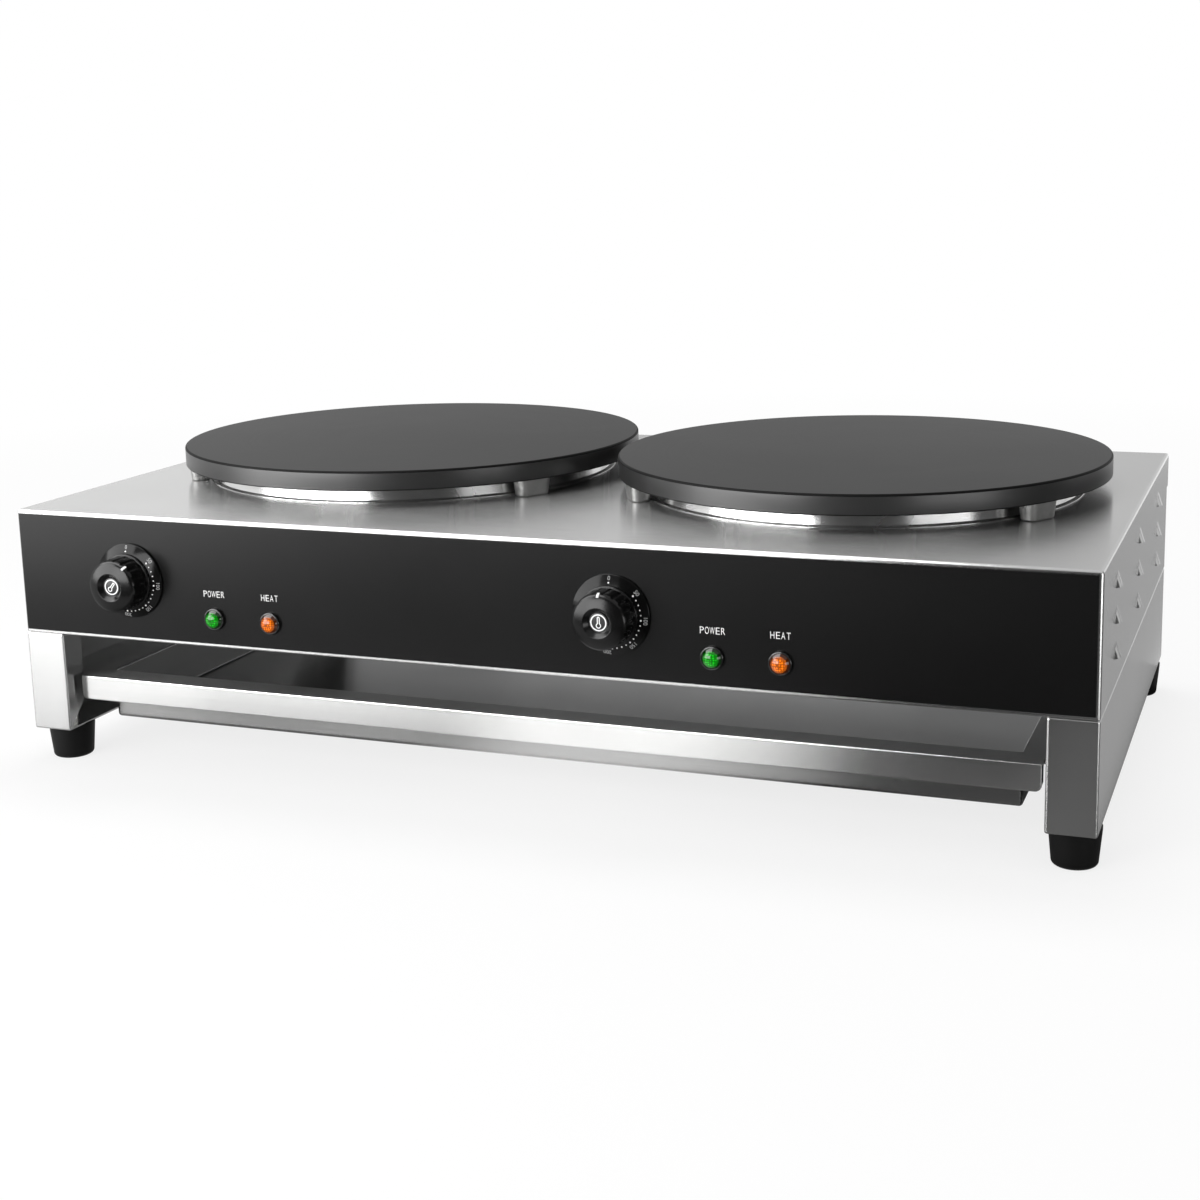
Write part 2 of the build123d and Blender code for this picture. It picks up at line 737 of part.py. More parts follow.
def thermostat_shaft(x, turn):
    """Shaft with a flat for the knob."""
    back = y_inner + thermostat_bore_depth - gap
    length = back - (y_tip + knob_recess_depth + shaft_cover)
    shaft = Pos(0, 0, length / 2) * Cylinder(shaft_diameter / 2, length)
    flat_start = back - y_knob
    flat_y = shaft_diameter / 2 - shaft_flat
    shaft -= block((-shaft_diameter, shaft_diameter), (flat_y, shaft_diameter), (flat_start, 2 * length))
    return facing_front(x, back, z_dial) * Rot(0, 0, -turn) * shaft


def dial_ring(x):
    """Fixed ring with the scale, on the panel round the bush."""
    ring = turned([
        (dial_hole / 2, 0),
        (dial_diameter / 2, 0),
        (dial_diameter / 2, dial_rim_thickness),
        (knob_base_diameter / 2, dial_thickness),
        (dial_hole / 2, dial_thickness),
    ])
    return facing_front(x, y_fascia, z_dial) * ring


def knob(x, turn):
    """Fluted knob with a base flange, a hollow back, a crowned front and a recess in it."""
    length = y_knob - y_tip
    radius = knob_diameter / 2
    crown_centre = length - sqrt(knob_crown_radius**2 - knob_recess_diameter**2 / 4)
    body = Pos(0, 0, length / 2) * Cylinder(radius, length)
    body &= Pos(0, 0, crown_centre) * Sphere(knob_crown_radius)
    grip = body.faces().filter_by(GeomType.CYLINDER)
    body = fillet(grip.edges().group_by(Axis.Z)[-1], knob_front_radius)
    flute_radius = radius + knob_flute_diameter / 2 - knob_flute_depth
    flutes = PolarLocations(flute_radius, knob_flutes)
    body -= flutes * (Pos(0, 0, length / 2) * Cylinder(knob_flute_diameter / 2, length))
    base = Pos(0, 0, knob_base_thickness / 2) * Cylinder(knob_base_diameter / 2, knob_base_thickness)
    body += chamfer(base.edges().group_by(Axis.Z)[-1], knob_base_thickness / 3)
    bowl = Cone(badge_diameter / 2, knob_recess_diameter / 2, knob_recess_depth)
    body -= Pos(0, 0, length - knob_recess_depth / 2) * bowl
    hollow_end = length - knob_recess_depth - knob_wall - knob_front_radius / 2
    hollow = Cylinder(radius - knob_wall, 2 * hollow_end) - Cylinder(knob_hub_diameter / 2, 2 * hollow_end)
    body -= hollow
    bore_depth = length - knob_recess_depth - shaft_cover + gap
    bore = Cylinder(shaft_diameter / 2 + close_fit, 2 * bore_depth)
    flat_y = shaft_diameter / 2 - shaft_flat + close_fit
    bore -= block((-shaft_diameter, shaft_diameter), (flat_y, shaft_diameter), (-bore_depth, bore_depth))
    return facing_front(x, y_knob, z_dial) * Rot(0, 0, -turn) * (body - bore)


def knob_badge(x):
    """Disc in the front recess of a knob."""
    y_seat = y_tip + knob_recess_depth
    return spindle(x, z_dial, (y_seat - badge_thickness, y_seat), badge_diameter / 2 - close_fit)


def lamp_places():
    """Side, colour role and axis of each pilot lamp."""
    for name, side in sides.items():
        for role, offset in zip(("power", "heat"), lamp_offsets):
            yield f"{name}_{role}_lamp_lens", side * plate_x + offset


def lamp_housing(x):
    """Lamp barrel through the panel, with a flange in front and a seat for the lens."""
    front = lamp_flange_thickness
    body = Pos(0, 0, front / 2) * Cylinder(lamp_flange_diameter / 2, front)
    body = chamfer(body.edges().group_by(Axis.Z)[-1], front / 4)
    body += Pos(0, 0, -lamp_barrel_length / 2) * Cylinder(lamp_barrel_diameter / 2, lamp_barrel_length)
    seat = Pos(0, 0, front) * Cylinder(lamp_lens_diameter / 2 + running_fit, 2 * lamp_lens_seat)
    return facing_front(x, y_fascia, z_lamp) * (body - seat)


def lamp_lens(x):
    """Domed lens seated in a lamp housing."""
    radius = lamp_lens_diameter / 2
    bottom = lamp_flange_thickness - lamp_lens_seat
    dome_radius = (radius**2 + lamp_lens_dome**2) / (2 * lamp_lens_dome)
    tip = lamp_flange_thickness + lamp_lens_dome
    seat = post(0, 0, (bottom, lamp_flange_thickness), radius)
    dome = Pos(0, 0, tip - dome_radius) * Sphere(dome_radius)
    dome &= post(0, 0, (lamp_flange_thickness, tip), radius)
    return facing_front(x, y_fascia, z_lamp) * (seat + dome)


def lamp_nut(x):
    """Nut that holds a lamp housing from behind the panel."""
    nut = hex_nut(lamp_nut_flats, lamp_nut_thickness, lamp_barrel_diameter / 2 + close_fit)
    return facing_back(x, y_inner, z_lamp) * nut


def cable_gland(centre_x):
    """Gland through the back panel, with a clear bore for a supply lead."""
    cap_end = gland_flange + gland_cap_length
    body = turned([
        (0, -gland_tail),
        (gland_thread / 2, -gland_tail),
        (gland_thread / 2, gland_flange),
        (gland_cap_diameter / 2, gland_flange),
        (gland_cap_diameter / 2, cap_end),
        (gland_mouth_diameter / 2, gland_reach),
        (0, gland_reach),
    ])
    body += extrude(RegularPolygon(gland_flats / 2, 6, major_radius=False), gland_flange)
    body -= Cylinder(gland_bore / 2, 4 * gland_reach)
    return facing_back(centre_x, y_back, z_gland) * body


def gland_nut(centre_x):
    """Nut on a gland inside the back panel."""
    nut = hex_nut(gland_nut_flats, gland_nut_thickness, gland_thread / 2 + close_fit)
    return facing_front(centre_x, y_back - rear_sheet, z_gland) * nut


def terminal_block(centre_x):
    """Block on the base plate that the supply and the wires meet in."""
    half = terminal_width / 2
    z = (z_base_top, z_base_top + terminal_height)
    return block((centre_x - half, centre_x + half), (y_terminal - terminal_depth, y_terminal), z)


def wiring(centre_x):
    """Wires between terminal block, thermostat, lamps and element ends."""
    y_block = y_terminal - terminal_depth
    y_block_middle = y_terminal - terminal_depth / 2
    z_block_top = z_base_top + terminal_height
    z_low = z_base_top + terminal_height / 3
    z_over = z_block_top + 2 * wire_bend
    y_lamp = y_fascia + lamp_barrel_length
    x_dial = dial_offset
    y_near = y_thermostat_back + 4 * wire_bend
    y_far = y_near + 4 * wire_bend
    z_under = z_dial - thermostat_height / 2 + wire_diameter
    (outer_left, outer_right) = element_ends(ring_radii[0])
    inner_ends = element_ends(ring_radii[1])
    quarter = thermostat_width / 4
    routes = [
        [
            (x_dial + quarter, y_thermostat_back, z_dial),
            (x_dial + quarter, plate_y + outer_left[1], z_dial),
            (outer_left[0], plate_y + outer_left[1], z_dial),
            (outer_left[0], plate_y + outer_left[1], z_tail),
        ],
        [
            (outer_right[0], plate_y + outer_right[1], z_tail),
            (outer_right[0], plate_y + outer_right[1], z_low),
            (outer_right[0], y_block, z_low),
        ],
        [
            (-terminal_width / 3, y_block, z_low),
            (-terminal_width / 3, y_far, z_low),
            (x_dial - quarter, y_far, z_low),
            (x_dial - quarter, y_far, z_dial),
            (x_dial - quarter, y_thermostat_back, z_dial),
        ],
        [
            (lamp_offsets[0], y_lamp, z_lamp),
            (lamp_offsets[0], y_near, z_lamp),
            (x_dial, y_near, z_lamp),
            (x_dial, y_near, z_under + 2 * wire_bend),
            (x_dial, y_thermostat_back, z_under + 2 * wire_bend),
        ],
        [(lamp_offsets[1], y_lamp, z_lamp), (lamp_offsets[1], y_block, z_lamp)],
    ]
    for x, y in inner_ends:
        routes.append([
            (x, plate_y + y, z_tail),
            (x, plate_y + y, z_over),
            (x, y_block_middle, z_over),
            (x, y_block_middle, z_block_top),
        ])
    wires = [bent_rod(route, wire_diameter, wire_bend) for route in routes]
    return Pos(centre_x, 0, 0) * Compound(children=wires)


def plate_studs():
    """Studs that hold the plates: one through each lug and one through each heating stack."""
    studs = []
    lug_nut = stud_diameter * nut_thickness_ratio
    centre_nut = centre_stud_diameter * nut_thickness_ratio
    z_lug_end = z_deck - housing_sheet - lug_nut - thread_past_nut
    z_centre_end = z_shield - centre_nut - thread_past_nut
    for side in sides.values():
        for x, y, turn in lug_places(side * plate_x):
            studs.append(post(x, y, (z_lug_end, z_plate + stud_depth - gap), stud_diameter / 2))
        z_centre = (z_centre_end, z_ceiling + centre_stud_depth - gap)
        studs.append(post(side * plate_x, plate_y, z_centre, centre_stud_diameter / 2))
    return Compound(children=studs)


def plate_nuts():
    """Nuts on the plate studs, under the deck and under the heat shields."""
    nuts = []
    lug_nut = stud_diameter * nut_thickness_ratio
    centre_nut = centre_stud_diameter * nut_thickness_ratio
    for side in sides.values():
        for x, y, turn in lug_places(side * plate_x):
            nut = hex_nut(stud_diameter * nut_flats_ratio, lug_nut, stud_diameter / 2 + close_fit)
            nuts.append(Pos(x, y, z_deck - housing_sheet - lug_nut) * nut)
        radius = centre_stud_diameter / 2 + close_fit
        nut = hex_nut(centre_stud_diameter * nut_flats_ratio, centre_nut, radius)
        nuts.append(Pos(side * plate_x, plate_y, z_shield - centre_nut) * nut)
    return Compound(children=nuts)


def upward_screw(x, y, z_seat, z_end, diameter):
    """Screw with its head under z_seat and its thread up to z_end."""
    z_head = z_seat - screw_head_height
    head = post(x, y, (z_head, z_seat), diameter * screw_head_ratio / 2)
    return head + post(x, y, (z_head, z_end), diameter / 2)


def stand_screw_places():
    """Axis of each screw that holds a stand to the housing."""
    return [(side * x_stand_screw, y) for side in sides.values() for y in stand_screw_rows]


def stand_screws():
    """Screws up through the stands, the cover returns and the base plate."""
    z_end = z_base_top + stand_screw_diameter * nut_thickness_ratio + thread_past_nut
    z_seat = z_base - stand_sheet
    screws = [upward_screw(x, y, z_seat, z_end, stand_screw_diameter) for x, y in stand_screw_places()]
    return Compound(children=screws)


def stand_nuts():
    """Nuts on the stand screws, on the base plate."""
    thickness = stand_screw_diameter * nut_thickness_ratio
    radius = stand_screw_diameter / 2 + close_fit
    nut = hex_nut(stand_screw_diameter * nut_flats_ratio, thickness, radius)
    return Compound(children=[Pos(x, y, z_base_top) * nut for x, y in stand_screw_places()])


def rear_panel_screws():
    """Screws up through the base plate into the flange of the rear panel."""
    z_seat = z_base + housing_sheet
    z_end = z_base_top + rear_sheet + thread_past_nut
    screws = [upward_screw(x, rear_screw_y, z_seat, z_end, rear_screw_diameter) for x in rear_screw_columns]
    return Compound(children=screws)


pieces = {
    "housing_cover": housing_cover(),
    "fascia_panel": fascia_panel(),
    "base_plate": base_plate(),
    "rear_panel": rear_panel(),
    "drip_tray": drip_tray(),
    "foot_screws": Compound(children=[foot_screw(x, y) for x, y in foot_places()]),
    "foot_nuts": Compound(children=[foot_nut(x, y) for x, y in foot_places()]),
    "plate_studs": plate_studs(),
    "plate_nuts": plate_nuts(),
    "stand_screws": stand_screws(),
    "stand_nuts": stand_nuts(),
    "rear_panel_screws": rear_panel_screws(),
    "thermostat_screws": Compound(children=[thermostat_screw(x, z) for x, z in thermostat_screw_places()]),
    "lamp_housings": Compound(children=[lamp_housing(x) for name, x in lamp_places()]),
    "lamp_nuts": Compound(children=[lamp_nut(x) for name, x in lamp_places()]),
    "gland_nuts": Compound(children=[gland_nut(side * plate_x) for side in sides.values()]),
}
for name, side in sides.items():
    pieces[f"{name}_stand"] = stand(side)
    pieces[f"{name}_tray_rail"] = tray_rail(side)
    for row in foot_rows:
        pieces[f"{row}_{name}_foot"] = foot(side, row)
    centre_x = side * plate_x
    pieces[f"{name}_plate"] = griddle_plate(centre_x)
    pieces[f"{name}_plate_lugs"] = plate_lugs(centre_x)
    pieces[f"{name}_collar"] = collar(centre_x)
    pieces[f"{name}_heating_element"] = heating_element(centre_x)
    pieces[f"{name}_element_clamp"] = element_clamp(centre_x)
    pieces[f"{name}_insulation_pad"] = insulation_pad(centre_x)
    pieces[f"{name}_heat_shield"] = heat_shield(centre_x)
    pieces[f"{name}_thermostat"] = thermostat(centre_x)
    pieces[f"{name}_sensor"] = sensor(centre_x)
    pieces[f"{name}_cable_gland"] = cable_gland(centre_x)
    pieces[f"{name}_terminal_block"] = terminal_block(centre_x)
    pieces[f"{name}_wiring"] = wiring(centre_x)
for name, x, turn in dial_places():
    pieces[f"{name}_thermostat_shaft"] = thermostat_shaft(x, turn)
    pieces[f"{name}_dial_ring"] = dial_ring(x)
    pieces[f"{name}_knob"] = knob(x, turn)
    pieces[f"{name}_knob_badge"] = knob_badge(x)
for name, x in lamp_places():
    pieces[name] = lamp_lens(x)

os.makedirs("parts", exist_ok=True)
for name, piece in pieces.items():
    export_step(piece, f"parts/{name}.step")
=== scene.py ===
"""Looks of the twin-plate electric griddle, built over its packed solids. Metres, in the solids' frame."""

import json
import math

import bmesh
import bpy
from bpy.props import FloatProperty, FloatVectorProperty, IntProperty, PointerProperty
from mathutils import Matrix, Vector, noise


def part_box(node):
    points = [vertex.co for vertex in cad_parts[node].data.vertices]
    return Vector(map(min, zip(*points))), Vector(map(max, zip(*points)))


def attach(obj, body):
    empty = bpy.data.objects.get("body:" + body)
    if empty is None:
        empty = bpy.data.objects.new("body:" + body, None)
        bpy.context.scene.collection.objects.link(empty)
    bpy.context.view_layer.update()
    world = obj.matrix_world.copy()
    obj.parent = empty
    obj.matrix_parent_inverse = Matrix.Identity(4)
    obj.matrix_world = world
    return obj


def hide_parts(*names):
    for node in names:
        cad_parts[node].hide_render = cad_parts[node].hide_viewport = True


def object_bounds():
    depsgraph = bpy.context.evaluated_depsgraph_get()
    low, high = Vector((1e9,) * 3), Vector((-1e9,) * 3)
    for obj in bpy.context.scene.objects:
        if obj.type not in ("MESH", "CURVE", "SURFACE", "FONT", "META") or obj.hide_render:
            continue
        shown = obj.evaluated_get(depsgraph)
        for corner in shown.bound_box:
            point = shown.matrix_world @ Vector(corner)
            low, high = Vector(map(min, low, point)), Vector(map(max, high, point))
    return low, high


bl_info = {
    "name": "Twin-plate electric griddle",
    "version": (1, 0, 0),
    "blender": (4, 5, 0),
    "location": "View3D > Sidebar > Griddle",
    "description": "Gives the griddle's solids their finishes, prints, lamps and a studio stage",
    "category": "Object",
}

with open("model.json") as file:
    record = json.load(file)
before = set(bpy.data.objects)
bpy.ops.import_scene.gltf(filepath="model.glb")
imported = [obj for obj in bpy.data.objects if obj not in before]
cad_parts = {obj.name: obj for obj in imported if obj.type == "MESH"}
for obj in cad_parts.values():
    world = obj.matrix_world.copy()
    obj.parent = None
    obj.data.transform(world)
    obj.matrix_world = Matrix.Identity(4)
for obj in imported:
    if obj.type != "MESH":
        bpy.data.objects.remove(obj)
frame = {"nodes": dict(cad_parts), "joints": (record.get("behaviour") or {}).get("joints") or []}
solids_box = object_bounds()

SIDES = ("left", "right")
HOUSING = "griddle_body"
MM = 0.001
WHITE = (1.0, 1.0, 1.0, 1.0)
# Shares of a turn and of a text's size, and the angle from which an edge shows
QUARTER_TURN = 0.25
CAPITAL_HEIGHT = 0.72
CREASE = math.radians(35)


def span(node):
    """Centre and size of a solid at rest."""
    low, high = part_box(node)
    return (low + high) / 2, high - low


# Sizes that the solids already have
plate_radius = span("left_plate")[1].x / 2
plate_thickness = span("left_plate")[1].z
lug_height = span("left_plate_lugs")[1].z
collar_radius = span("left_collar")[1].x / 2
collar_height = span("left_collar")[1].z
dial_radius = span("left_dial_ring")[1].x / 2
dial_thickness = span("left_dial_ring")[1].y
knob_base_radius = span("left_knob")[1].x / 2
knob_length = span("left_knob")[1].y
lens_radius = span("left_power_lamp_lens")[1].x / 2
foot_radius = span("front_left_foot")[1].x / 2
foot_height = span("front_left_foot")[1].z
left_knob_turn = -math.radians(
    next(joint for joint in frame["joints"] if joint["name"] == "left_knob_turn")["range_deg"][0]
)


def length(name, description, default):
    """A size in metres that a user can change."""
    return FloatProperty(name=name, description=description, default=default, min=0.0, unit="LENGTH")


def share(name, description, default):
    """A number from nought to one."""
    limits = {"min": 0.0, "max": 1.0, "subtype": "FACTOR"}
    return FloatProperty(name=name, description=description, default=default, **limits)


def colour(name, description, default):
    """A colour of a finish."""
    limits = {"min": 0.0, "max": 1.0, "subtype": "COLOR"}
    return FloatVectorProperty(name=name, description=description, default=default, **limits)


def angle(name, description, degrees):
    """An angle, given here in degrees."""
    return FloatProperty(name=name, description=description, default=math.radians(degrees), subtype="ANGLE")


def level(name, description, default):
    """A power or a brightness."""
    return FloatProperty(name=name, description=description, default=default, min=0.0)


def count(name, description, default):
    """A number of repeats."""
    return IntProperty(name=name, description=description, default=default, min=2)


class SteelLook(bpy.types.PropertyGroup):
    """Finish of the folded steel pieces and the collars."""

    sheet: colour("Sheet", "Colour of the brushed stainless sheet", (0.47, 0.47, 0.467))
    sheet_roughness: share("Sheet roughness", "How far the brushing blurs a reflection", 0.22)
    tray_roughness: share("Tray roughness", "How far the tray's brushing blurs a reflection", 0.2)
    stretch: share("Stretch", "How far the blur keeps to the way across the grain", 0.9)
    tray: colour("Tray", "Colour of the tray's brushed sheet", (0.58, 0.58, 0.575))
    # The pan colour is a painted shade: the pan behind the lip and below the rim is drawn darker, as if the
    # lip shaded it.
    pan: colour("Pan", "Colour of the tray's pan, dulled by heat and washing", (0.33, 0.33, 0.327))
    pan_setback: length("Pan setback", "From the tray's lip to where its pan begins", 12 * MM)
    rim_sheet: length("Rim sheet", "Thickness of the tray's rim", 1.2 * MM)
    polish: colour("Polish", "Colour of the polished collars", (0.78, 0.78, 0.775))
    grain_length: length("Grain length", "Length of a brushed scratch", 40 * MM)
    grain_width: length("Grain width", "Width of a brushed scratch", 0.15 * MM)


class PlateLook(bpy.types.PropertyGroup):
    """The two cast cooking plates, their collars and their lugs."""

    face: colour("Face", "Colour of the seasoned iron", (0.027, 0.027, 0.027))
    edge: colour("Edge", "Colour of the plate's turned edge", (0.012, 0.012, 0.012))
    # The rim colour is a painted shade: the plate's rounded corners are drawn nearly black to give a dark
    # line along the bevel.
    rim: colour("Rim", "Colour of the plate's broken corners", (0.004, 0.004, 0.004))
    casting: colour("Casting", "Colour of the raw cast lugs", (0.22, 0.22, 0.216))
    edge_round: length("Edge round", "Radius on the plate's upper edge", 1.8 * MM)
    recess_radius: length("Recess radius", "Radius of the recess under the plate", 169 * MM)
    recess_depth: length("Recess depth", "Depth of the recess under the plate", 4 * MM)
    collar_wall: length("Collar wall", "Thickness of the collar's sheet", 1.2 * MM)
    collar_foot: length("Collar foot", "Width of the collar's turned foot", 4 * MM)
    collar_lean: length("Collar lean", "How far the collar leans in at its top", 2 * MM)
    lug_radial: length("Lug depth", "Size of a lug towards the plate's middle", 17 * MM)
    lug_width: length("Lug width", "Size of a lug along the plate's edge", 30 * MM)
    lug_corner: length("Lug corner", "Radius of a lug's upright corners", 6 * MM)
    lug_draft: angle("Lug draft", "Draft on the sides of a lug", 5)
    lug_inset: length("Lug inset", "From the plate's edge to a lug", 3 * MM)
    lug_rough: length("Lug roughness", "Height of the bumps on a lug", 0.25 * MM)


class ControlLook(bpy.types.PropertyGroup):
    """The dial rings, knobs and their prints."""

    black: colour("Black", "Colour of the moulded knobs and dials", (0.003, 0.003, 0.003))
    print: colour("Print", "Colour of the printed marks", (0.82, 0.82, 0.82))
    # The numerals colour is partly a painted shade: the numbers are drawn grey, darker than the white dots,
    # partly to stand for their thin strokes.
    numerals: colour("Numerals", "Colour of the dial's numbers", (0.4, 0.4, 0.4))
    flutes: count("Flutes", "Flutes round a knob", 18)
    flute_radius: length("Flute radius", "Radius of one flute", 2.5 * MM)
    flute_depth: length("Flute depth", "Depth of one flute", 0.7 * MM)
    body_radius: length("Body radius", "Radius of a knob's grip", 21 * MM)
    base_height: length("Base height", "Thickness of a knob's base", 3 * MM)
    front_round: length("Front round", "Radius on a knob's front edge", 4 * MM)
    crown_radius: length("Crown radius", "Radius of a knob's crowned front", 55 * MM)
    bowl_radius: length("Bowl radius", "Radius of the bowl in a knob's front", 11 * MM)
    bowl_depth: length("Bowl depth", "Depth of the bowl in a knob's front", 3.5 * MM)
    pointer_width: length("Pointer width", "Width of the white pointer", 1.8 * MM)
    dots: count("Dots", "Dots from the first number to the last mark", 26)
    first_turn: angle("First turn", "Turn from 0 to the first number", 50)
    dot_turn: angle("Dot turn", "Turn from one dot to the next", 9)
    rim_thickness: length("Rim thickness", "Thickness of a dial at its rim", 2.2 * MM)
    dot_circle: length("Dot circle", "Radius of the circle of dots", 24.2 * MM)
    dot_radius: length("Dot radius", "Radius of a small dot", 0.5 * MM)
    numeral_circle: length("Numeral circle", "Radius at the middle of the numbers", 27.2 * MM)
    numeral_height: length("Numeral height", "Height of the numbers", 3.1 * MM)
    word_height: length("Word height", "Height of the words over the lamps", 5.4 * MM)
    letter_width: length("Letter width", "Width of each letter of those words", 2.9 * MM)
    letter_pitch: length("Letter pitch", "From one letter to the next", 3.95 * MM)
    word_rise: length("Word rise", "From a lamp's middle to its word", 19.5 * MM)
    print_height: length("Print height", "How far a print stands off its surface", 0.08 * MM)


class LampLook(bpy.types.PropertyGroup):
    """The four pilot lamps."""

    green: colour("Green", "Glow of the power lamps", (0.008, 0.45, 0.012))
    orange: colour("Orange", "Glow of the heat lamps", (1.0, 0.2, 0.008))
    core: share("Core", "Share of a lens that its light fills", 0.52)
    facet: length("Facet", "Size of the facets inside a lens", 1.8 * MM)
    barrel_radius: length("Barrel radius", "Radius of a lamp's barrel behind the panel", 5.5 * MM)
    seat_depth: length("Seat depth", "Depth of a lens's seat in its rim", 2 * MM)


class FootLook(bpy.types.PropertyGroup):
    """The four rubber feet."""

    rubber: colour("Rubber", "Colour of the feet", (0.005, 0.005, 0.005))
    foot_radius: length("Foot radius", "Radius where a foot meets the ground", 16 * MM)
    edge_round: length("Edge round", "Radius on a foot's lower edge", 3 * MM)
    bore_radius: length("Bore radius", "Radius of the bore below for the screw's head", 6.5 * MM)
    bore_depth: length("Bore depth", "Depth of the bore below for the screw's head", 18 * MM)
    hole_radius: length("Hole radius", "Radius of the screw's hole", 3.3 * MM)


class StageLook(bpy.types.PropertyGroup):
    """Camera, floor and lights."""

    camera_place: FloatVectorProperty(
        name="Camera place",
        description="Where the camera stands",
        default=(0.562, -1.437, 0.487),
        unit="LENGTH",
    )
    camera_yaw: angle("Camera yaw", "Turn of the camera from straight ahead, to the right", -20.41)
    camera_pitch: angle("Camera pitch", "Tilt of the camera upwards", -10.83)
    camera_roll: angle("Camera roll", "Roll of the camera", -1.20)
    camera_lens: level("Lens", "Focal length in millimetres", 55.6)
    camera_shift: FloatVectorProperty(
        name="Shift", description="Shift of the frame", size=2, default=(-0.04, -0.08)
    )
    ambient: share("Ambient", "Strength of the light from all round", 0.6)
    key_power: level("Key power", "Watts of the soft light at the left", 30.0)
    softbox: level("Softbox", "How bright the softboxes show in metal", 9.0)
    near_floor: level("Near floor", "How bright the floor in front shows in metal", 0.95)
    top_power: level("Top power", "Watts of the soft light overhead", 24.0)
    floor: colour("Floor", "Colour of the floor", (0.86, 0.86, 0.86))


# Node trees


def set_inputs(tree, node, inputs):
    """Gives each input of a node a value, or a link from a socket."""
    for key, value in inputs.items():
        if isinstance(value, bpy.types.NodeSocket):
            tree.links.new(value, node.inputs[key])
        else:
            node.inputs[key].default_value = value


def add(tree, kind, inputs=None, **settings):
    """A node with its settings and its inputs."""
    node = tree.nodes.new(kind)
    for name, value in settings.items():
        setattr(node, name, value)
    set_inputs(tree, node, inputs or {})
    return node


def shader_group(name, inputs, outputs):
    """An empty shader group with float sockets, what it is given and its output node."""
    tree = bpy.data.node_groups.new(name, "ShaderNodeTree")
    for label, value in inputs.items():
        socket = tree.interface.new_socket(name=label, in_out="INPUT", socket_type="NodeSocketFloat")
        socket.default_value = value
    for label in outputs:
        tree.interface.new_socket(name=label, in_out="OUTPUT", socket_type="NodeSocketFloat")
    return tree, tree.nodes.new("NodeGroupInput").outputs, tree.nodes.new("NodeGroupOutput")


def math_node(tree, operation, a, b=0.0, c=0.0):
    """The result of one sum on up to three values or sockets."""
    return add(tree, "ShaderNodeMath", {0: a, 1: b, 2: c}, operation=operation).outputs[0]


def vector_node(tree, operation, a, b):
    """The result of one sum on two vectors."""
    return add(tree, "ShaderNodeVectorMath", {0: a, 1: b}, operation=operation).outputs[0]


def parts(tree, vector):
    """The X, Y and Z of a vector."""
    return add(tree, "ShaderNodeSeparateXYZ", {0: vector}).outputs


def object_place(tree):
    """Where a point of the surface lies in the object's own frame."""
    return add(tree, "ShaderNodeTexCoord").outputs["Object"]


def turned_way(tree):
    """Turn and run of a point on a turned piece."""
    return add(tree, "ShaderNodeUVMap", uv_map="Turned").outputs["UV"]


def surface_way(tree):
    """The way that the surface faces."""
    return add(tree, "ShaderNodeNewGeometry").outputs["Normal"]


def cloud(tree, place, scale, detail=2.0, distortion=0.0):
    """Soft random patches."""
    inputs = {"Vector": place, "Scale": scale, "Detail": detail, "Distortion": distortion}
    return add(tree, "ShaderNodeTexNoise", inputs).outputs["Fac"]


def between(tree, factor, low, high, start=0.0, end=1.0):
    """A value that runs from low to high while a mask runs from start to end."""
    inputs = {"Value": factor, "From Min": start, "From Max": end, "To Min": low, "To Max": high}
    return add(tree, "ShaderNodeMapRange", inputs).outputs["Result"]


def tinted(tree, factor, dark, light):
    """A colour that runs from dark to light with a mask."""
    ramp = add(tree, "ShaderNodeValToRGB", {"Fac": factor})
    ramp.color_ramp.elements[0].color = (*dark, 1.0)
    ramp.color_ramp.elements[1].color = (*light, 1.0)
    return ramp.outputs["Color"]


def bump(tree, height, distance):
    """A normal from a height; distance is in metres."""
    return add(tree, "ShaderNodeBump", {"Height": height, "Distance": distance}).outputs["Normal"]


def shade(hue, factor):
    """The same colour, darker or lighter."""
    return tuple(min(1.0, part * factor) for part in hue)


def brushed_grain():
    """Scratches along X, or along Y on the side walls, as a streak value and a height."""
    if "Brushed grain" in bpy.data.node_groups:
        return bpy.data.node_groups["Brushed grain"]
    sizes = {"Length": 0.03, "Width": 0.0003}
    tree, given, made = shader_group("Brushed grain", sizes, ("Streak", "Height"))
    sideways = math_node(tree, "ABSOLUTE", parts(tree, surface_way(tree))["X"])
    side = math_node(tree, "GREATER_THAN", sideways, 0.7)
    along = math_node(tree, "DIVIDE", 1.0, given["Length"])
    across = math_node(tree, "DIVIDE", 1.0, given["Width"])
    front = add(tree, "ShaderNodeCombineXYZ", {"X": along, "Y": across, "Z": across}).outputs[0]
    wall = add(tree, "ShaderNodeCombineXYZ", {"X": across, "Y": along, "Z": across}).outputs[0]
    scale = add(tree, "ShaderNodeMix", {"Factor": side, 4: front, 5: wall}, data_type="VECTOR").outputs[1]
    stretched = vector_node(tree, "MULTIPLY", object_place(tree), scale)
    fine = cloud(tree, stretched, 1.0, 3.0)
    broad = cloud(tree, stretched, 0.2)
    streak = math_node(tree, "MULTIPLY_ADD", broad, 0.5, math_node(tree, "MULTIPLY", fine, 0.5))
    set_inputs(tree, made, {"Streak": streak, "Height": fine})
    return tree


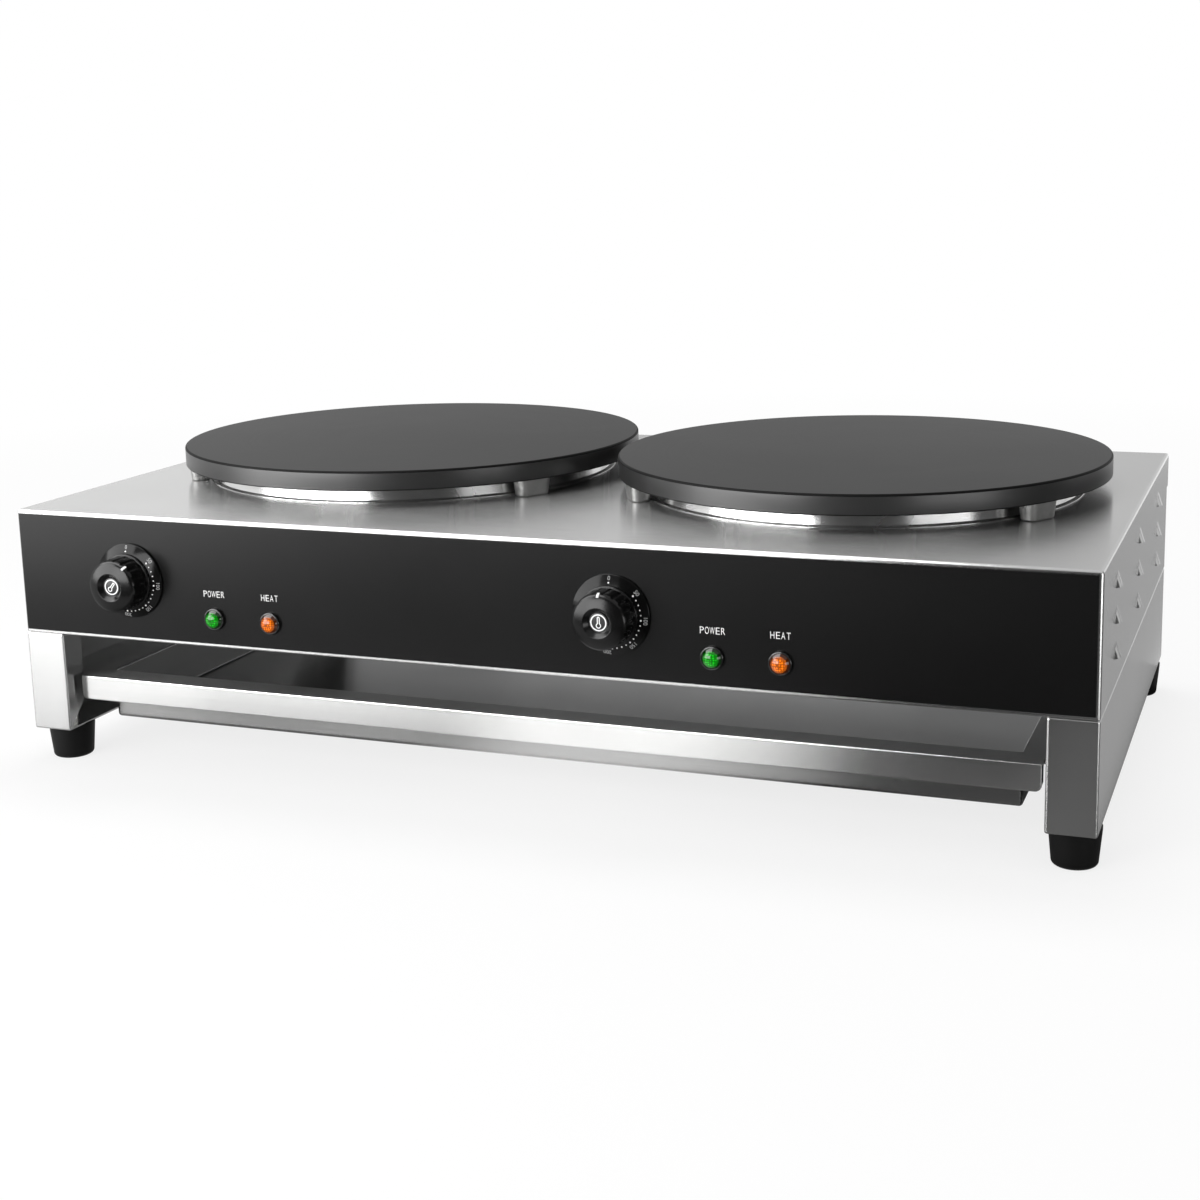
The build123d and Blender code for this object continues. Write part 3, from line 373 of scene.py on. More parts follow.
def cast_skin():
    """Bumps and pits of a casting or a moulding, as a height and a tone."""
    if "Cast skin" in bpy.data.node_groups:
        return bpy.data.node_groups["Cast skin"]
    tree, given, made = shader_group("Cast skin", {"Scale": 400.0, "Pits": 0.5}, ("Height", "Tone"))
    place = object_place(tree)
    cells = {"Vector": place, "Scale": given["Scale"]}
    pits = add(tree, "ShaderNodeTexVoronoi", cells, feature="SMOOTH_F1").outputs["Distance"]
    pitted = math_node(tree, "MULTIPLY", pits, given["Pits"])
    broad = cloud(tree, place, math_node(tree, "MULTIPLY", given["Scale"], 0.08))
    set_inputs(tree, made, {
        "Height": math_node(tree, "ADD", cloud(tree, place, given["Scale"], 5.0), pitted),
        "Tone": math_node(tree, "MULTIPLY_ADD", broad, 0.6, 0.2),
    })
    return tree


def handling_smears():
    """Wide soft patches where hands and cloths have passed."""
    if "Handling smears" in bpy.data.node_groups:
        return bpy.data.node_groups["Handling smears"]
    tree, given, made = shader_group("Handling smears", {"Scale": 9.0}, ("Smear",))
    patches = cloud(tree, object_place(tree), given["Scale"], 3.0, 0.6)
    set_inputs(tree, made, {"Smear": between(tree, patches, 0.0, 1.0, 0.35, 0.7)})
    return tree


def material(name):
    """A new material, its tree and its Principled shader."""
    made = bpy.data.materials.new(name)
    made.use_nodes = True
    return made, made.node_tree, made.node_tree.nodes["Principled BSDF"]


def bare_material(name):
    """A new material with an empty tree."""
    made, tree, _ = material(name)
    tree.nodes.clear()
    return made, tree


def placed(tree, group, **values):
    """A shader group in a material, with this material's own values."""
    node = tree.nodes.new("ShaderNodeGroup")
    node.node_tree = group
    set_inputs(tree, node, values)
    return node.outputs


def pan_shade_mask(tree, steel):
    """One on the tray's pan, which lies behind its lip and below its rim; the pan's darker colour there is
    a painted shade.
    """
    where = parts(tree, object_place(tree))
    low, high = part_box("drip_tray")
    behind = math_node(tree, "GREATER_THAN", where["Y"], low.y + steel.pan_setback)
    below = math_node(tree, "LESS_THAN", where["Z"], high.z - steel.rim_sheet)
    return math_node(tree, "MULTIPLY", behind, below)


def brushed_steel(name, hue, roughness, steel, has_pan_shade=False):
    """Brushed sheet: streaks in colour and roughness, a blur across the grain and, on the tray, a painted
    shade on its pan.
    """
    made, tree, shader = material(name)
    grain = placed(tree, brushed_grain(), Length=steel.grain_length, Width=steel.grain_width)
    smear = placed(tree, handling_smears(), Scale=6.0)["Smear"]
    tone = tinted(tree, grain["Streak"], shade(hue, 0.9), shade(hue, 1.1))
    # Painted shade: the tray's pan, behind its lip and below its rim, takes the darker pan colour.
    if has_pan_shade:
        pan_shade = tinted(tree, grain["Streak"], shade(steel.pan, 0.8), shade(steel.pan, 1.2))
        both = {"Factor": pan_shade_mask(tree, steel), 6: tone, 7: pan_shade}
        tone = add(tree, "ShaderNodeMix", both, data_type="RGBA").outputs[2]
    streaks = between(tree, grain["Streak"], roughness - 0.03, roughness + 0.03)
    set_inputs(tree, shader, {
        "Base Color": tone,
        "Roughness": math_node(tree, "ADD", streaks, between(tree, smear, 0.0, 0.03)),
        "Tangent": vector_node(tree, "CROSS_PRODUCT", surface_way(tree), (0.0, 0.02, 1.0)),
        "Metallic": 1.0,
        "Anisotropic": steel.stretch,
        "Anisotropic Rotation": QUARTER_TURN,
        "Normal": bump(tree, grain["Height"], 0.0012 * MM),
    })
    return made


def polished_steel(hue):
    """Spun and polished collar steel with faint turning lines."""
    made, tree, shader = material("Polished collar steel")
    smear = placed(tree, handling_smears(), Scale=14.0)["Smear"]
    lines = cloud(tree, vector_node(tree, "MULTIPLY", turned_way(tree), (6.0, 3000.0, 0.0)), 1.0)
    way = add(tree, "ShaderNodeTangent", direction_type="UV_MAP", uv_map="Turned").outputs[0]
    set_inputs(tree, shader, {
        "Base Color": tinted(tree, lines, shade(hue, 0.9), shade(hue, 1.08)),
        "Roughness": between(tree, smear, 0.22, 0.30),
        "Tangent": way,
        "Metallic": 1.0,
        "Anisotropic": 0.85,
        "Anisotropic Rotation": QUARTER_TURN,
        "Normal": bump(tree, lines, 0.003 * MM),
    })
    return made


def seasoned_iron(name, hue, roughness, gloss):
    """Seasoned plate: fine turned rings, a close grain and a dull sheen."""
    made, tree, shader = material(name)
    skin = placed(tree, cast_skin(), Scale=1400.0, Pits=0.4)
    smear = placed(tree, handling_smears(), Scale=6.0)["Smear"]
    rings = cloud(tree, vector_node(tree, "MULTIPLY", turned_way(tree), (3.0, 900.0, 0.0)), 1.0)
    tone = math_node(tree, "MULTIPLY_ADD", smear, 0.35, math_node(tree, "MULTIPLY", rings, 0.5))
    set_inputs(tree, shader, {
        "Base Color": tinted(tree, tone, shade(hue, 0.88), shade(hue, 1.12)),
        "Roughness": between(tree, tone, roughness - 0.04, roughness + 0.06),
        "Specular IOR Level": gloss,
        "Normal": bump(tree, math_node(tree, "ADD", skin["Height"], rings), 0.012 * MM),
    })
    return made


def moulded(
    name, hue, roughness, grain, depth, metallic=0.0, gloss=0.5, pits=0.3, contrast=0.25, wear=0.15
):
    """A moulded, cast or coated skin: grain in the height, soft patches in tone and gloss."""
    made, tree, shader = material(name)
    skin = placed(tree, cast_skin(), Scale=grain, Pits=pits)
    smear = placed(tree, handling_smears(), Scale=grain * 0.02)["Smear"]
    set_inputs(tree, shader, {
        "Base Color": tinted(tree, skin["Tone"], shade(hue, 1 - contrast), shade(hue, 1 + contrast)),
        "Roughness": between(tree, smear, roughness * (1 - wear), min(1.0, roughness * (1 + wear))),
        "Metallic": metallic,
        "Specular IOR Level": gloss,
        "Normal": bump(tree, skin["Height"], depth),
    })
    return made


def lit_lens(name, glow, core, facet):
    """A lit lens: a bright faceted core, a deep clear edge and a glossy dome."""
    made, tree, shader = material(name)
    grid = {"Vector": object_place(tree), "Scale": 1 / facet, "Randomness": 0.25}
    cells = add(tree, "ShaderNodeTexVoronoi", grid).outputs["Distance"]
    glint = between(tree, cells, 0.0, 1.0, 0.5, 0.2)
    edge = lens_radius * (2 - core)
    fill = between(tree, parts(tree, turned_way(tree))["Y"], 0.0, 1.0, edge, edge + 1 * MM)
    bright = math_node(tree, "MULTIPLY", fill, between(tree, glint, 0.25, 1.0))
    set_inputs(tree, shader, {
        "Base Color": (*shade(glow, 0.02), 1.0),
        "Emission Color": tinted(tree, bright, shade(glow, 0.015), glow),
        "Emission Strength": 1.6,
        "Roughness": 0.07,
        "Specular IOR Level": 0.2,
        "Coat Weight": 0.25,
        "Coat Roughness": 0.04,
    })
    return made


def print_ink(look):
    """White printing ink, made once for all marks."""
    if "White print" in bpy.data.materials:
        return bpy.data.materials["White print"]
    return moulded("White print", look.print, 0.5, 2000.0, 0.004 * MM, contrast=0.06)


# Meshes


def rounded(corners, steps=6):
    """Outline through (radius, height, fillet) corners, each fillet as a short run of points."""
    outline = []
    for i, (x, y, fillet) in enumerate(corners):
        here = Vector((x, y))
        if not fillet:
            outline.append(here)
            continue
        back = (Vector(corners[i - 1][:2]) - here).normalized()
        ahead = (Vector(corners[i + 1][:2]) - here).normalized()
        half = back.angle(ahead) / 2
        centre = here + (back + ahead).normalized() * fillet / math.sin(half)
        spoke = here + back * fillet / math.tan(half) - centre
        turn = math.copysign(math.pi - 2 * half, back.x * ahead.y - back.y * ahead.x) * -1
        for step in range(steps + 1):
            outline.append(centre + Matrix.Rotation(turn * step / steps, 2) @ spoke)
    return outline


def arc(centre, radius, start, sweep, steps):
    """Points along an arc on a plane."""
    turns = [start + sweep * i / steps for i in range(steps + 1)]
    return [Vector(centre) + radius * Vector((math.cos(a), math.sin(a))) for a in turns]


def turned(outline, place, steps, trim=None, ring=False):
    """A closed mesh from an outline of (radius, height) turned round Z, then moved to its place."""
    shape = bmesh.new()
    way = shape.loops.layers.uv.new("Turned")
    run = [0.0]
    for a, b in zip(outline, outline[1:]):
        run.append(run[-1] + (b - a).length)
    rows = []
    for radius, height in outline:
        if radius < 1e-7:
            rows.append([shape.verts.new((0.0, 0.0, height))] * steps)
            continue
        row = []
        for j in range(steps):
            a = math.tau * j / steps
            reach = trim(a, radius, height) if trim else radius
            row.append(shape.verts.new((reach * math.cos(a), reach * math.sin(a), height)))
        rows.append(row)
    for i in range(len(rows) if ring else len(rows) - 1):
        after = (i + 1) % len(rows)
        low, high, here, ahead = rows[i], rows[after], run[i], run[after]
        for j in range(steps):
            k = (j + 1) % steps
            corners = [(low[j], j, here), (low[k], j + 1, here)]
            corners += [(high[k], j + 1, ahead), (high[j], j, ahead)]
            kept = [c for n, c in enumerate(corners) if c[0] not in [d[0] for d in corners[:n]]]
            face = shape.faces.new([c[0] for c in kept])
            for loop, (_, turn, way_v) in zip(face.loops, kept):
                loop[way].uv = (turn / steps, way_v)
    bmesh.ops.recalc_face_normals(shape, faces=shape.faces)
    shape.transform(place)
    return shape


def linked(name, data):
    """A new object in the scene."""
    obj = bpy.data.objects.new(name, data)
    bpy.context.scene.collection.objects.link(obj)
    return obj


def evaluated_mesh(obj):
    """A mesh of what an object's text or modifiers come to."""
    graph = bpy.context.evaluated_depsgraph_get()
    return bpy.data.meshes.new_from_object(obj.evaluated_get(graph), depsgraph=graph)


def standing(node):
    """Place at the middle of a solid's lower end."""
    middle, _ = span(node)
    return Matrix.Translation((middle.x, middle.y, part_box(node)[0].z))


def mesh_of(*shapes):
    """One mesh from one or more shapes or meshes, which are freed."""
    joined = bmesh.new()
    for shape in shapes:
        if isinstance(shape, bmesh.types.BMesh):
            mesh = bpy.data.meshes.new("part")
            shape.to_mesh(mesh)
            shape.free()
        else:
            mesh = shape
        joined.from_mesh(mesh)
        bpy.data.meshes.remove(mesh)
    made = bpy.data.meshes.new("piece")
    joined.to_mesh(made)
    joined.free()
    return made


def piece(name, mesh, finish, body, stands_for=(), flat=False):
    """A finished piece: its mesh, finish, shading, body and the solids that it stands for."""
    mesh.name = name
    obj = linked(name, mesh)
    mesh.materials.clear()
    mesh.materials.append(finish)
    if not flat:
        mesh.shade_smooth()
        mesh.set_sharp_from_angle(angle=CREASE)
    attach(obj, body)
    if stands_for:
        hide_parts(*stands_for)
    return obj


def facing_front(x, y, z, turn=0.0):
    """Place for a shape drawn face up: its Z points to the front, and it is turned clockwise."""
    front = Matrix(((1, 0, 0), (0, 0, -1), (0, 1, 0))).to_4x4()
    return Matrix.Translation((x, y, z)) @ front @ Matrix.Rotation(-turn, 4, "Z")


def skinned(rows, looped=False):
    """A closed shape over rows of points; the last row meets the first, or both are capped."""
    shape = bmesh.new()
    rows = [[shape.verts.new(point) for point in row] for row in rows]
    for i in range(len(rows) if looped else len(rows) - 1):
        low, high = rows[i], rows[(i + 1) % len(rows)]
        for j in range(len(low)):
            k = (j + 1) % len(low)
            shape.faces.new((low[j], low[k], high[k], high[j]))
    if not looped:
        shape.faces.new(rows[0])
        shape.faces.new(rows[-1])
    bmesh.ops.recalc_face_normals(shape, faces=shape.faces)
    return shape, rows


def outline_ribbon(path, width, thickness):
    """A flat band of the given width along a closed path drawn on the XY plane."""
    corners = ((1, 0), (-1, 0), (-1, thickness), (1, thickness))
    rows = []
    for i, here in enumerate(path):
        way = (path[(i + 1) % len(path)] - path[i - 1]).normalized()
        side = Vector((-way.y, way.x)) * width / 2
        rows.append([(*(here + side * s), height) for s, height in corners])
    return skinned(rows, looped=True)[0]


def lettering(text, height, thickness, place, weight):
    """Raised letters as a mesh at their place; weight thickens the strokes, as a share of the height."""
    curve = bpy.data.curves.new(text, "FONT")
    curve.body = text
    curve.size = height / CAPITAL_HEIGHT
    curve.align_x = "CENTER"
    curve.align_y = "CENTER"
    curve.extrude = thickness / 2
    curve.offset = weight * height
    obj = linked(text, curve)
    mesh = evaluated_mesh(obj)
    bpy.data.objects.remove(obj)
    bpy.data.curves.remove(curve)
    mesh.transform(place @ Matrix.Translation((0, 0, thickness / 2)))
    mesh.materials.clear()
    return mesh


# Pieces


class GRIDDLE_OT_solids(bpy.types.Operator):
    """Gives the carried-over sheet metal and inner pieces their finishes"""

    bl_idname = "griddle.solids"
    bl_label = "Finish the solids"

    METAL = {"metallic": 1.0}
    SPANGLED = {"metallic": 1.0, "pits": 1.0}
    PANEL = {"gloss": 0.2, "contrast": 0.1, "wear": 0.03}
    # Each slot's name, colour, roughness, grains to the metre, grain depth in millimetres and the rest
    PLAIN = {
        "galvanised_sheet": ("Galvanised sheet", (0.34, 0.347, 0.353), 0.42, 60, 0.02, SPANGLED),
        "black_panel": ("Black control panel", (0.004, 0.004, 0.004), 0.25, 700, 0.002, PANEL),
        "element_sheath": ("Element sheath", (0.20, 0.19, 0.17), 0.45, 500, 0.02, METAL),
        "mineral_fibre": ("Mineral fibre", (0.62, 0.58, 0.46), 0.95, 350, 0.5, {"contrast": 0.35}),
        "thermostat_case": ("Thermostat case", (0.36, 0.34, 0.30), 0.5, 800, 0.02, {"metallic": 0.6}),
        "copper_capillary": ("Copper capillary", (0.72, 0.34, 0.20), 0.3, 700, 0.01, METAL),
        "gland_plastic": ("Gland plastic", (0.018, 0.018, 0.019), 0.48, 900, 0.02, {}),
        "terminal_ceramic": ("Terminal ceramic", (0.78, 0.74, 0.66), 0.35, 600, 0.01, {"contrast": 0.1}),
        "wire_sleeve": ("Woven wire sleeve", (0.60, 0.58, 0.52), 0.85, 1500, 0.1, {}),
        "zinc_fasteners": ("Zinc-plated fasteners", (0.58, 0.58, 0.55), 0.32, 700, 0.01, METAL),
    }

    def execute(self, context):
        steel = context.scene.griddle_steel
        finishes = {
            "stainless_sheet": brushed_steel(
                "Brushed stainless sheet", steel.sheet, steel.sheet_roughness, steel
            ),
            "tray_steel": brushed_steel(
                "Brushed tray sheet", steel.tray, steel.tray_roughness, steel, has_pan_shade=True
            ),
        }
        for slot, (name, hue, roughness, grain, depth, others) in self.PLAIN.items():
            finishes[slot] = moulded(name, hue, roughness, grain, depth * MM, **others)
        for node in frame["nodes"].values():
            slot = node.material_slots[0].material.name
            if slot in finishes:
                node.material_slots[0].material = finishes[slot]
        return {"FINISHED"}


class GRIDDLE_OT_plates(bpy.types.Operator):
    """Makes the two cast plates"""

    bl_idname = "griddle.plates"
    bl_label = "Plates"

    STEPS = 256
    # How far up a face of the wall may look, and from where on a face counts as level
    UPRIGHT = 0.1
    LEVEL = 0.99

    def execute(self, context):
        look = context.scene.griddle_plates
        iron = seasoned_iron("Seasoned cast iron", look.face, roughness=0.56, gloss=0.19)
        wall = seasoned_iron("Turned plate edge", look.edge, roughness=0.36, gloss=0.52)
        # Painted shade: the rounded corners get a nearly black finish that draws a dark line along the
        # plate's bevel.
        rim = seasoned_iron("Plate corner painted shade", look.rim, roughness=0.5, gloss=0.05)
        top, edge = plate_thickness, look.edge_round
        outline = rounded([
            (0, look.recess_depth, 0),
            (look.recess_radius, look.recess_depth, edge),
            (look.recess_radius, 0, edge / 3),
            (plate_radius, 0, edge / 2),
            (plate_radius, top, edge),
            (0, top, 0),
        ])
        for side in SIDES:
            node = f"{side}_plate"
            mesh = mesh_of(turned(outline, standing(node), self.STEPS))
            plate = piece(f"{side}_cast_plate", mesh, iron, HOUSING, [node])
            plate.data.materials.append(wall)
            plate.data.materials.append(rim)
            # Upright faces take the edge finish, level faces the iron, and the rounded corners between them
            # the painted shade of the rim.
            for face in plate.data.polygons:
                tilt = abs(face.normal.z)
                face.material_index = 1 if tilt < self.UPRIGHT else 2 if tilt < self.LEVEL else 0
        return {"FINISHED"}


class GRIDDLE_OT_collars(bpy.types.Operator):
    """Makes the polished collars under the plates"""

    bl_idname = "griddle.collars"
    bl_label = "Collars"

    STEPS = 256

    def execute(self, context):
        look = context.scene.griddle_plates
        polish = polished_steel(context.scene.griddle_steel.polish)
        sheet, foot = look.collar_wall, look.collar_foot
        wall, top = collar_radius - foot, collar_height
        outline = rounded([
            (wall - sheet, 0, 0),
            (collar_radius, 0, sheet * 0.45),
            (collar_radius, sheet, sheet * 0.45),
            (wall, sheet, sheet),
            (wall - look.collar_lean, top, sheet * 0.4),
            (wall - look.collar_lean - sheet, top, 0),
        ])
        for side in SIDES:
            node = f"{side}_collar"
            mesh = mesh_of(turned(outline, standing(node), self.STEPS, ring=True))
            piece(f"{side}_polished_collar", mesh, polish, HOUSING, [node])
        return {"FINISHED"}


class GRIDDLE_OT_lugs(bpy.types.Operator):
    """Makes the rough cast lugs under the plates"""

    bl_idname = "griddle.lugs"
    bl_label = "Lugs"

    TURNS = (-147.0, -33.0, 90.0)
    CORNERS = ((1, 1), (-1, 1), (-1, -1), (1, -1))
    LAYERS = 14
    ARC_STEPS = 8
    SIDE_STEPS = 10
    LOWER_EDGE = 0.8 * MM
    BUMPS_A_METRE = 400

    def ring(self, look, half, height):
        """Points round a lug at one height: an arc at each corner and points along each side."""
        corner, quarter, arcs, points = look.lug_corner, math.pi / 2, [], []
        for i, (sx, sy) in enumerate(self.CORNERS):
            centre = (sx * (half.x - corner), sy * (half.y - corner))
            arcs.append(arc(centre, corner, quarter * i, quarter, self.ARC_STEPS))
        for here, after in zip(arcs, (*arcs[1:], arcs[0])):
            shares = [n / self.SIDE_STEPS for n in range(1, self.SIDE_STEPS)]
            points += here + [here[-1].lerp(after[0], part) for part in shares]
        return [(*point, height) for point in points]

    def lug(self, look, place):
        """One lug: a drafted block with round corners whose sides are rough."""
        rows = []
        for layer in range(self.LAYERS + 1):
            height = lug_height * layer / self.LAYERS
            slack = (lug_height - height) * math.tan(look.lug_draft) + (0 if layer else self.LOWER_EDGE)
            half = Vector((look.lug_radial / 2 - slack, look.lug_width / 2 - slack))
            rows.append(self.ring(look, half, height))
        shape, rows = skinned(rows)
        shape.transform(place)
        shape.normal_update()
        for row in rows[1:-1]:
            for corner in row:
                bump_height = noise.fractal(corner.co * self.BUMPS_A_METRE, 1.0, 2.0, 3)
                corner.co += corner.normal * look.lug_rough * bump_height
        return shape

    def execute(self, context):
        look = context.scene.griddle_plates
        casting = moulded("Raw casting", look.casting, 0.48, 1600.0, 0.12 * MM, 0.8, pits=0.8)
        reach = Matrix.Translation((plate_radius - look.lug_inset - look.lug_radial / 2, 0, 0))
        turns = [Matrix.Rotation(math.radians(turn), 4, "Z") for turn in self.TURNS]
        for side in SIDES:
            middle, _ = span(f"{side}_plate")
            node = f"{side}_plate_lugs"
            centre = Matrix.Translation((middle.x, middle.y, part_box(node)[0].z))
            shapes = [self.lug(look, centre @ turn @ reach) for turn in turns]
            piece(f"{side}_cast_lugs", mesh_of(*shapes), casting, HOUSING, [node])
        return {"FINISHED"}


class GRIDDLE_OT_dials(bpy.types.Operator):
    """Makes the dial rings with their dots and numbers"""

    bl_idname = "griddle.dials"
    bl_label = "Dials"

    NUMBERS = ("50", "100", "150", "200", "250")
    DOTS_A_NUMBER = 5
    LARGE_DOT = 1.3
    STROKE_WEIGHT = -0.015
    HOLE_RADIUS = 8 * MM

    def dot_tree(self):
        """Dots on an arc, clockwise from the top, with a larger one at each number."""
        tree = bpy.data.node_groups.new("Dial dots", "GeometryNodeTree")
        sockets = {}
        for label, kind in (
            ("Dots", "NodeSocketInt"),
            ("Dots a number", "NodeSocketInt"),
            ("First turn", "NodeSocketFloat"),
            ("Dot turn", "NodeSocketFloat"),
            ("Circle", "NodeSocketFloat"),
            ("Rise", "NodeSocketFloat"),
            ("Slope", "NodeSocketFloat"),
            ("Dot radius", "NodeSocketFloat"),
            ("Dot height", "NodeSocketFloat"),
            ("Print", "NodeSocketMaterial"),
        ):
            socket = tree.interface.new_socket(name=label, in_out="INPUT", socket_type=kind)
            sockets[label] = socket.identifier
        tree.interface.new_socket(name="Geometry", in_out="OUTPUT", socket_type="NodeSocketGeometry")
        given, made = tree.nodes.new("NodeGroupInput").outputs, tree.nodes.new("NodeGroupOutput")
        with_zero = math_node(tree, "ADD", given["Dots"], 1.0)
        line = add(tree, "GeometryNodeMeshLine", {"Count": with_zero})
        index = add(tree, "GeometryNodeInputIndex").outputs[0]
        step = math_node(tree, "SUBTRACT", index, 1.0)
        past_zero = math_node(tree, "GREATER_THAN", index, 0.5)
        turn = math_node(tree, "MULTIPLY_ADD", step, given["Dot turn"], given["First turn"])
        turn = math_node(tree, "MULTIPLY", turn, past_zero)
        x = math_node(tree, "MULTIPLY", math_node(tree, "SINE", turn), given["Circle"])
        y = math_node(tree, "MULTIPLY", math_node(tree, "COSINE", turn), given["Circle"])
        spot = add(tree, "ShaderNodeCombineXYZ", {"X": x, "Y": y, "Z": given["Rise"]})
        lean = math_node(tree, "MULTIPLY", given["Slope"], -1.0)
        clockwise = math_node(tree, "MULTIPLY", turn, -1.0)
        facing = add(tree, "ShaderNodeCombineXYZ", {"X": lean, "Z": clockwise})
        spread = {"Geometry": line.outputs[0], "Position": spot.outputs[0]}
        spots = add(tree, "GeometryNodeSetPosition", spread)
        rest = math_node(tree, "FLOORED_MODULO", step, given["Dots a number"])
        plain = math_node(tree, "MULTIPLY", math_node(tree, "GREATER_THAN", rest, 0.5), past_zero)
        size = math_node(tree, "MULTIPLY_ADD", plain, 1.0 - self.LARGE_DOT, self.LARGE_DOT)
        dot = add(tree, "GeometryNodeMeshCylinder", {
            "Vertices": 16, "Radius": given["Dot radius"], "Depth": given["Dot height"]
        })
        dots = add(tree, "GeometryNodeInstanceOnPoints", {
            "Points": spots.outputs[0],
            "Instance": dot.outputs[0],
            "Rotation": facing.outputs[0],
            "Scale": size,
        })
        real = add(tree, "GeometryNodeRealizeInstances", {0: dots.outputs[0]})
        ink = {"Geometry": real.outputs[0], "Material": given["Print"]}
        inked = add(tree, "GeometryNodeSetMaterial", ink)
        tree.links.new(inked.outputs[0], made.inputs[0])
        return tree, sockets

    def dots(self, tree, sockets, look, ink, slope):
        """The dots of one dial as a mesh, drawn face up at the origin."""
        carrier = linked("dots", bpy.data.meshes.new("dots"))
        modifier = carrier.modifiers.new("Dial dots", "NODES")
        modifier.node_group = tree
        for label, value in {
            "Dots": look.dots,
            "Dots a number": self.DOTS_A_NUMBER,
            "First turn": look.first_turn,
            "Dot turn": look.dot_turn,
            "Circle": look.dot_circle,
            "Rise": self.rise(look, look.dot_circle, slope),
            "Slope": slope,
            "Dot radius": look.dot_radius,
            "Dot height": 2 * look.print_height,
            "Print": ink,
        }.items():
            modifier[sockets[label]] = value
        mesh = evaluated_mesh(carrier)
        carrier.modifiers.clear()
        blank = carrier.data
        bpy.data.objects.remove(carrier)
        bpy.data.meshes.remove(blank)
        return mesh

    def rise(self, look, radius, slope):
        """Height of the sloping face at a radius."""
        return look.rim_thickness + (dial_radius - radius) * math.tan(slope)

    def execute(self, context):
        look = context.scene.griddle_controls
        black = moulded("Dial black", look.black, 0.13, 900.0, 0.002 * MM, gloss=0.12)
        ink = print_ink(look)
        # Partly a painted shade: the numbers take a grey copy of the white print, partly to stand for their
        # thin strokes.
        shaded_numeral_ink = moulded("Numeral print with painted shade", look.numerals, 0.5, 2000.0, 0.004 * MM, contrast=0.06)
        tree, sockets = self.dot_tree()
        hole, top = self.HOLE_RADIUS, dial_thickness
        slope = math.atan2(top - look.rim_thickness, dial_radius - knob_base_radius)
        outline = rounded([
            (hole, 0, 0),
            (dial_radius, 0, 0.4 * MM),
            (dial_radius, look.rim_thickness, 0.8 * MM),
            (knob_base_radius, top, 0.3 * MM),
            (hole, top, 0),
        ])
        for side in SIDES:
            middle, _ = span(f"{side}_dial_ring")
            seat = facing_front(middle.x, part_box(f"{side}_dial_ring")[1].y, middle.z)
            ring = turned(outline, seat, 160, ring=True)
            piece(f"{side}_dial", mesh_of(ring), black, HOUSING, [f"{side}_dial_ring"])
            marks = self.dots(tree, sockets, look, ink, slope)
            marks.transform(seat)
            piece(f"{side}_dial_dots", mesh_of(marks), ink, HOUSING, flat=True)
            words = []
            rise = self.rise(look, look.numeral_circle, slope)
            face = Matrix.Translation((0, look.numeral_circle, rise)) @ Matrix.Rotation(-slope, 4, "X")
            size = (look.numeral_height, look.print_height)
            for i, number in enumerate(("0", *self.NUMBERS)):
                turn = (look.first_turn + (i - 1) * self.DOTS_A_NUMBER * look.dot_turn) if i else 0.0
                spot = seat @ Matrix.Rotation(-turn, 4, "Z") @ face
                words.append(lettering(number, *size, spot, self.STROKE_WEIGHT))
            piece(f"{side}_dial_numbers", mesh_of(*words), shaded_numeral_ink, HOUSING, flat=True)
        return {"FINISHED"}


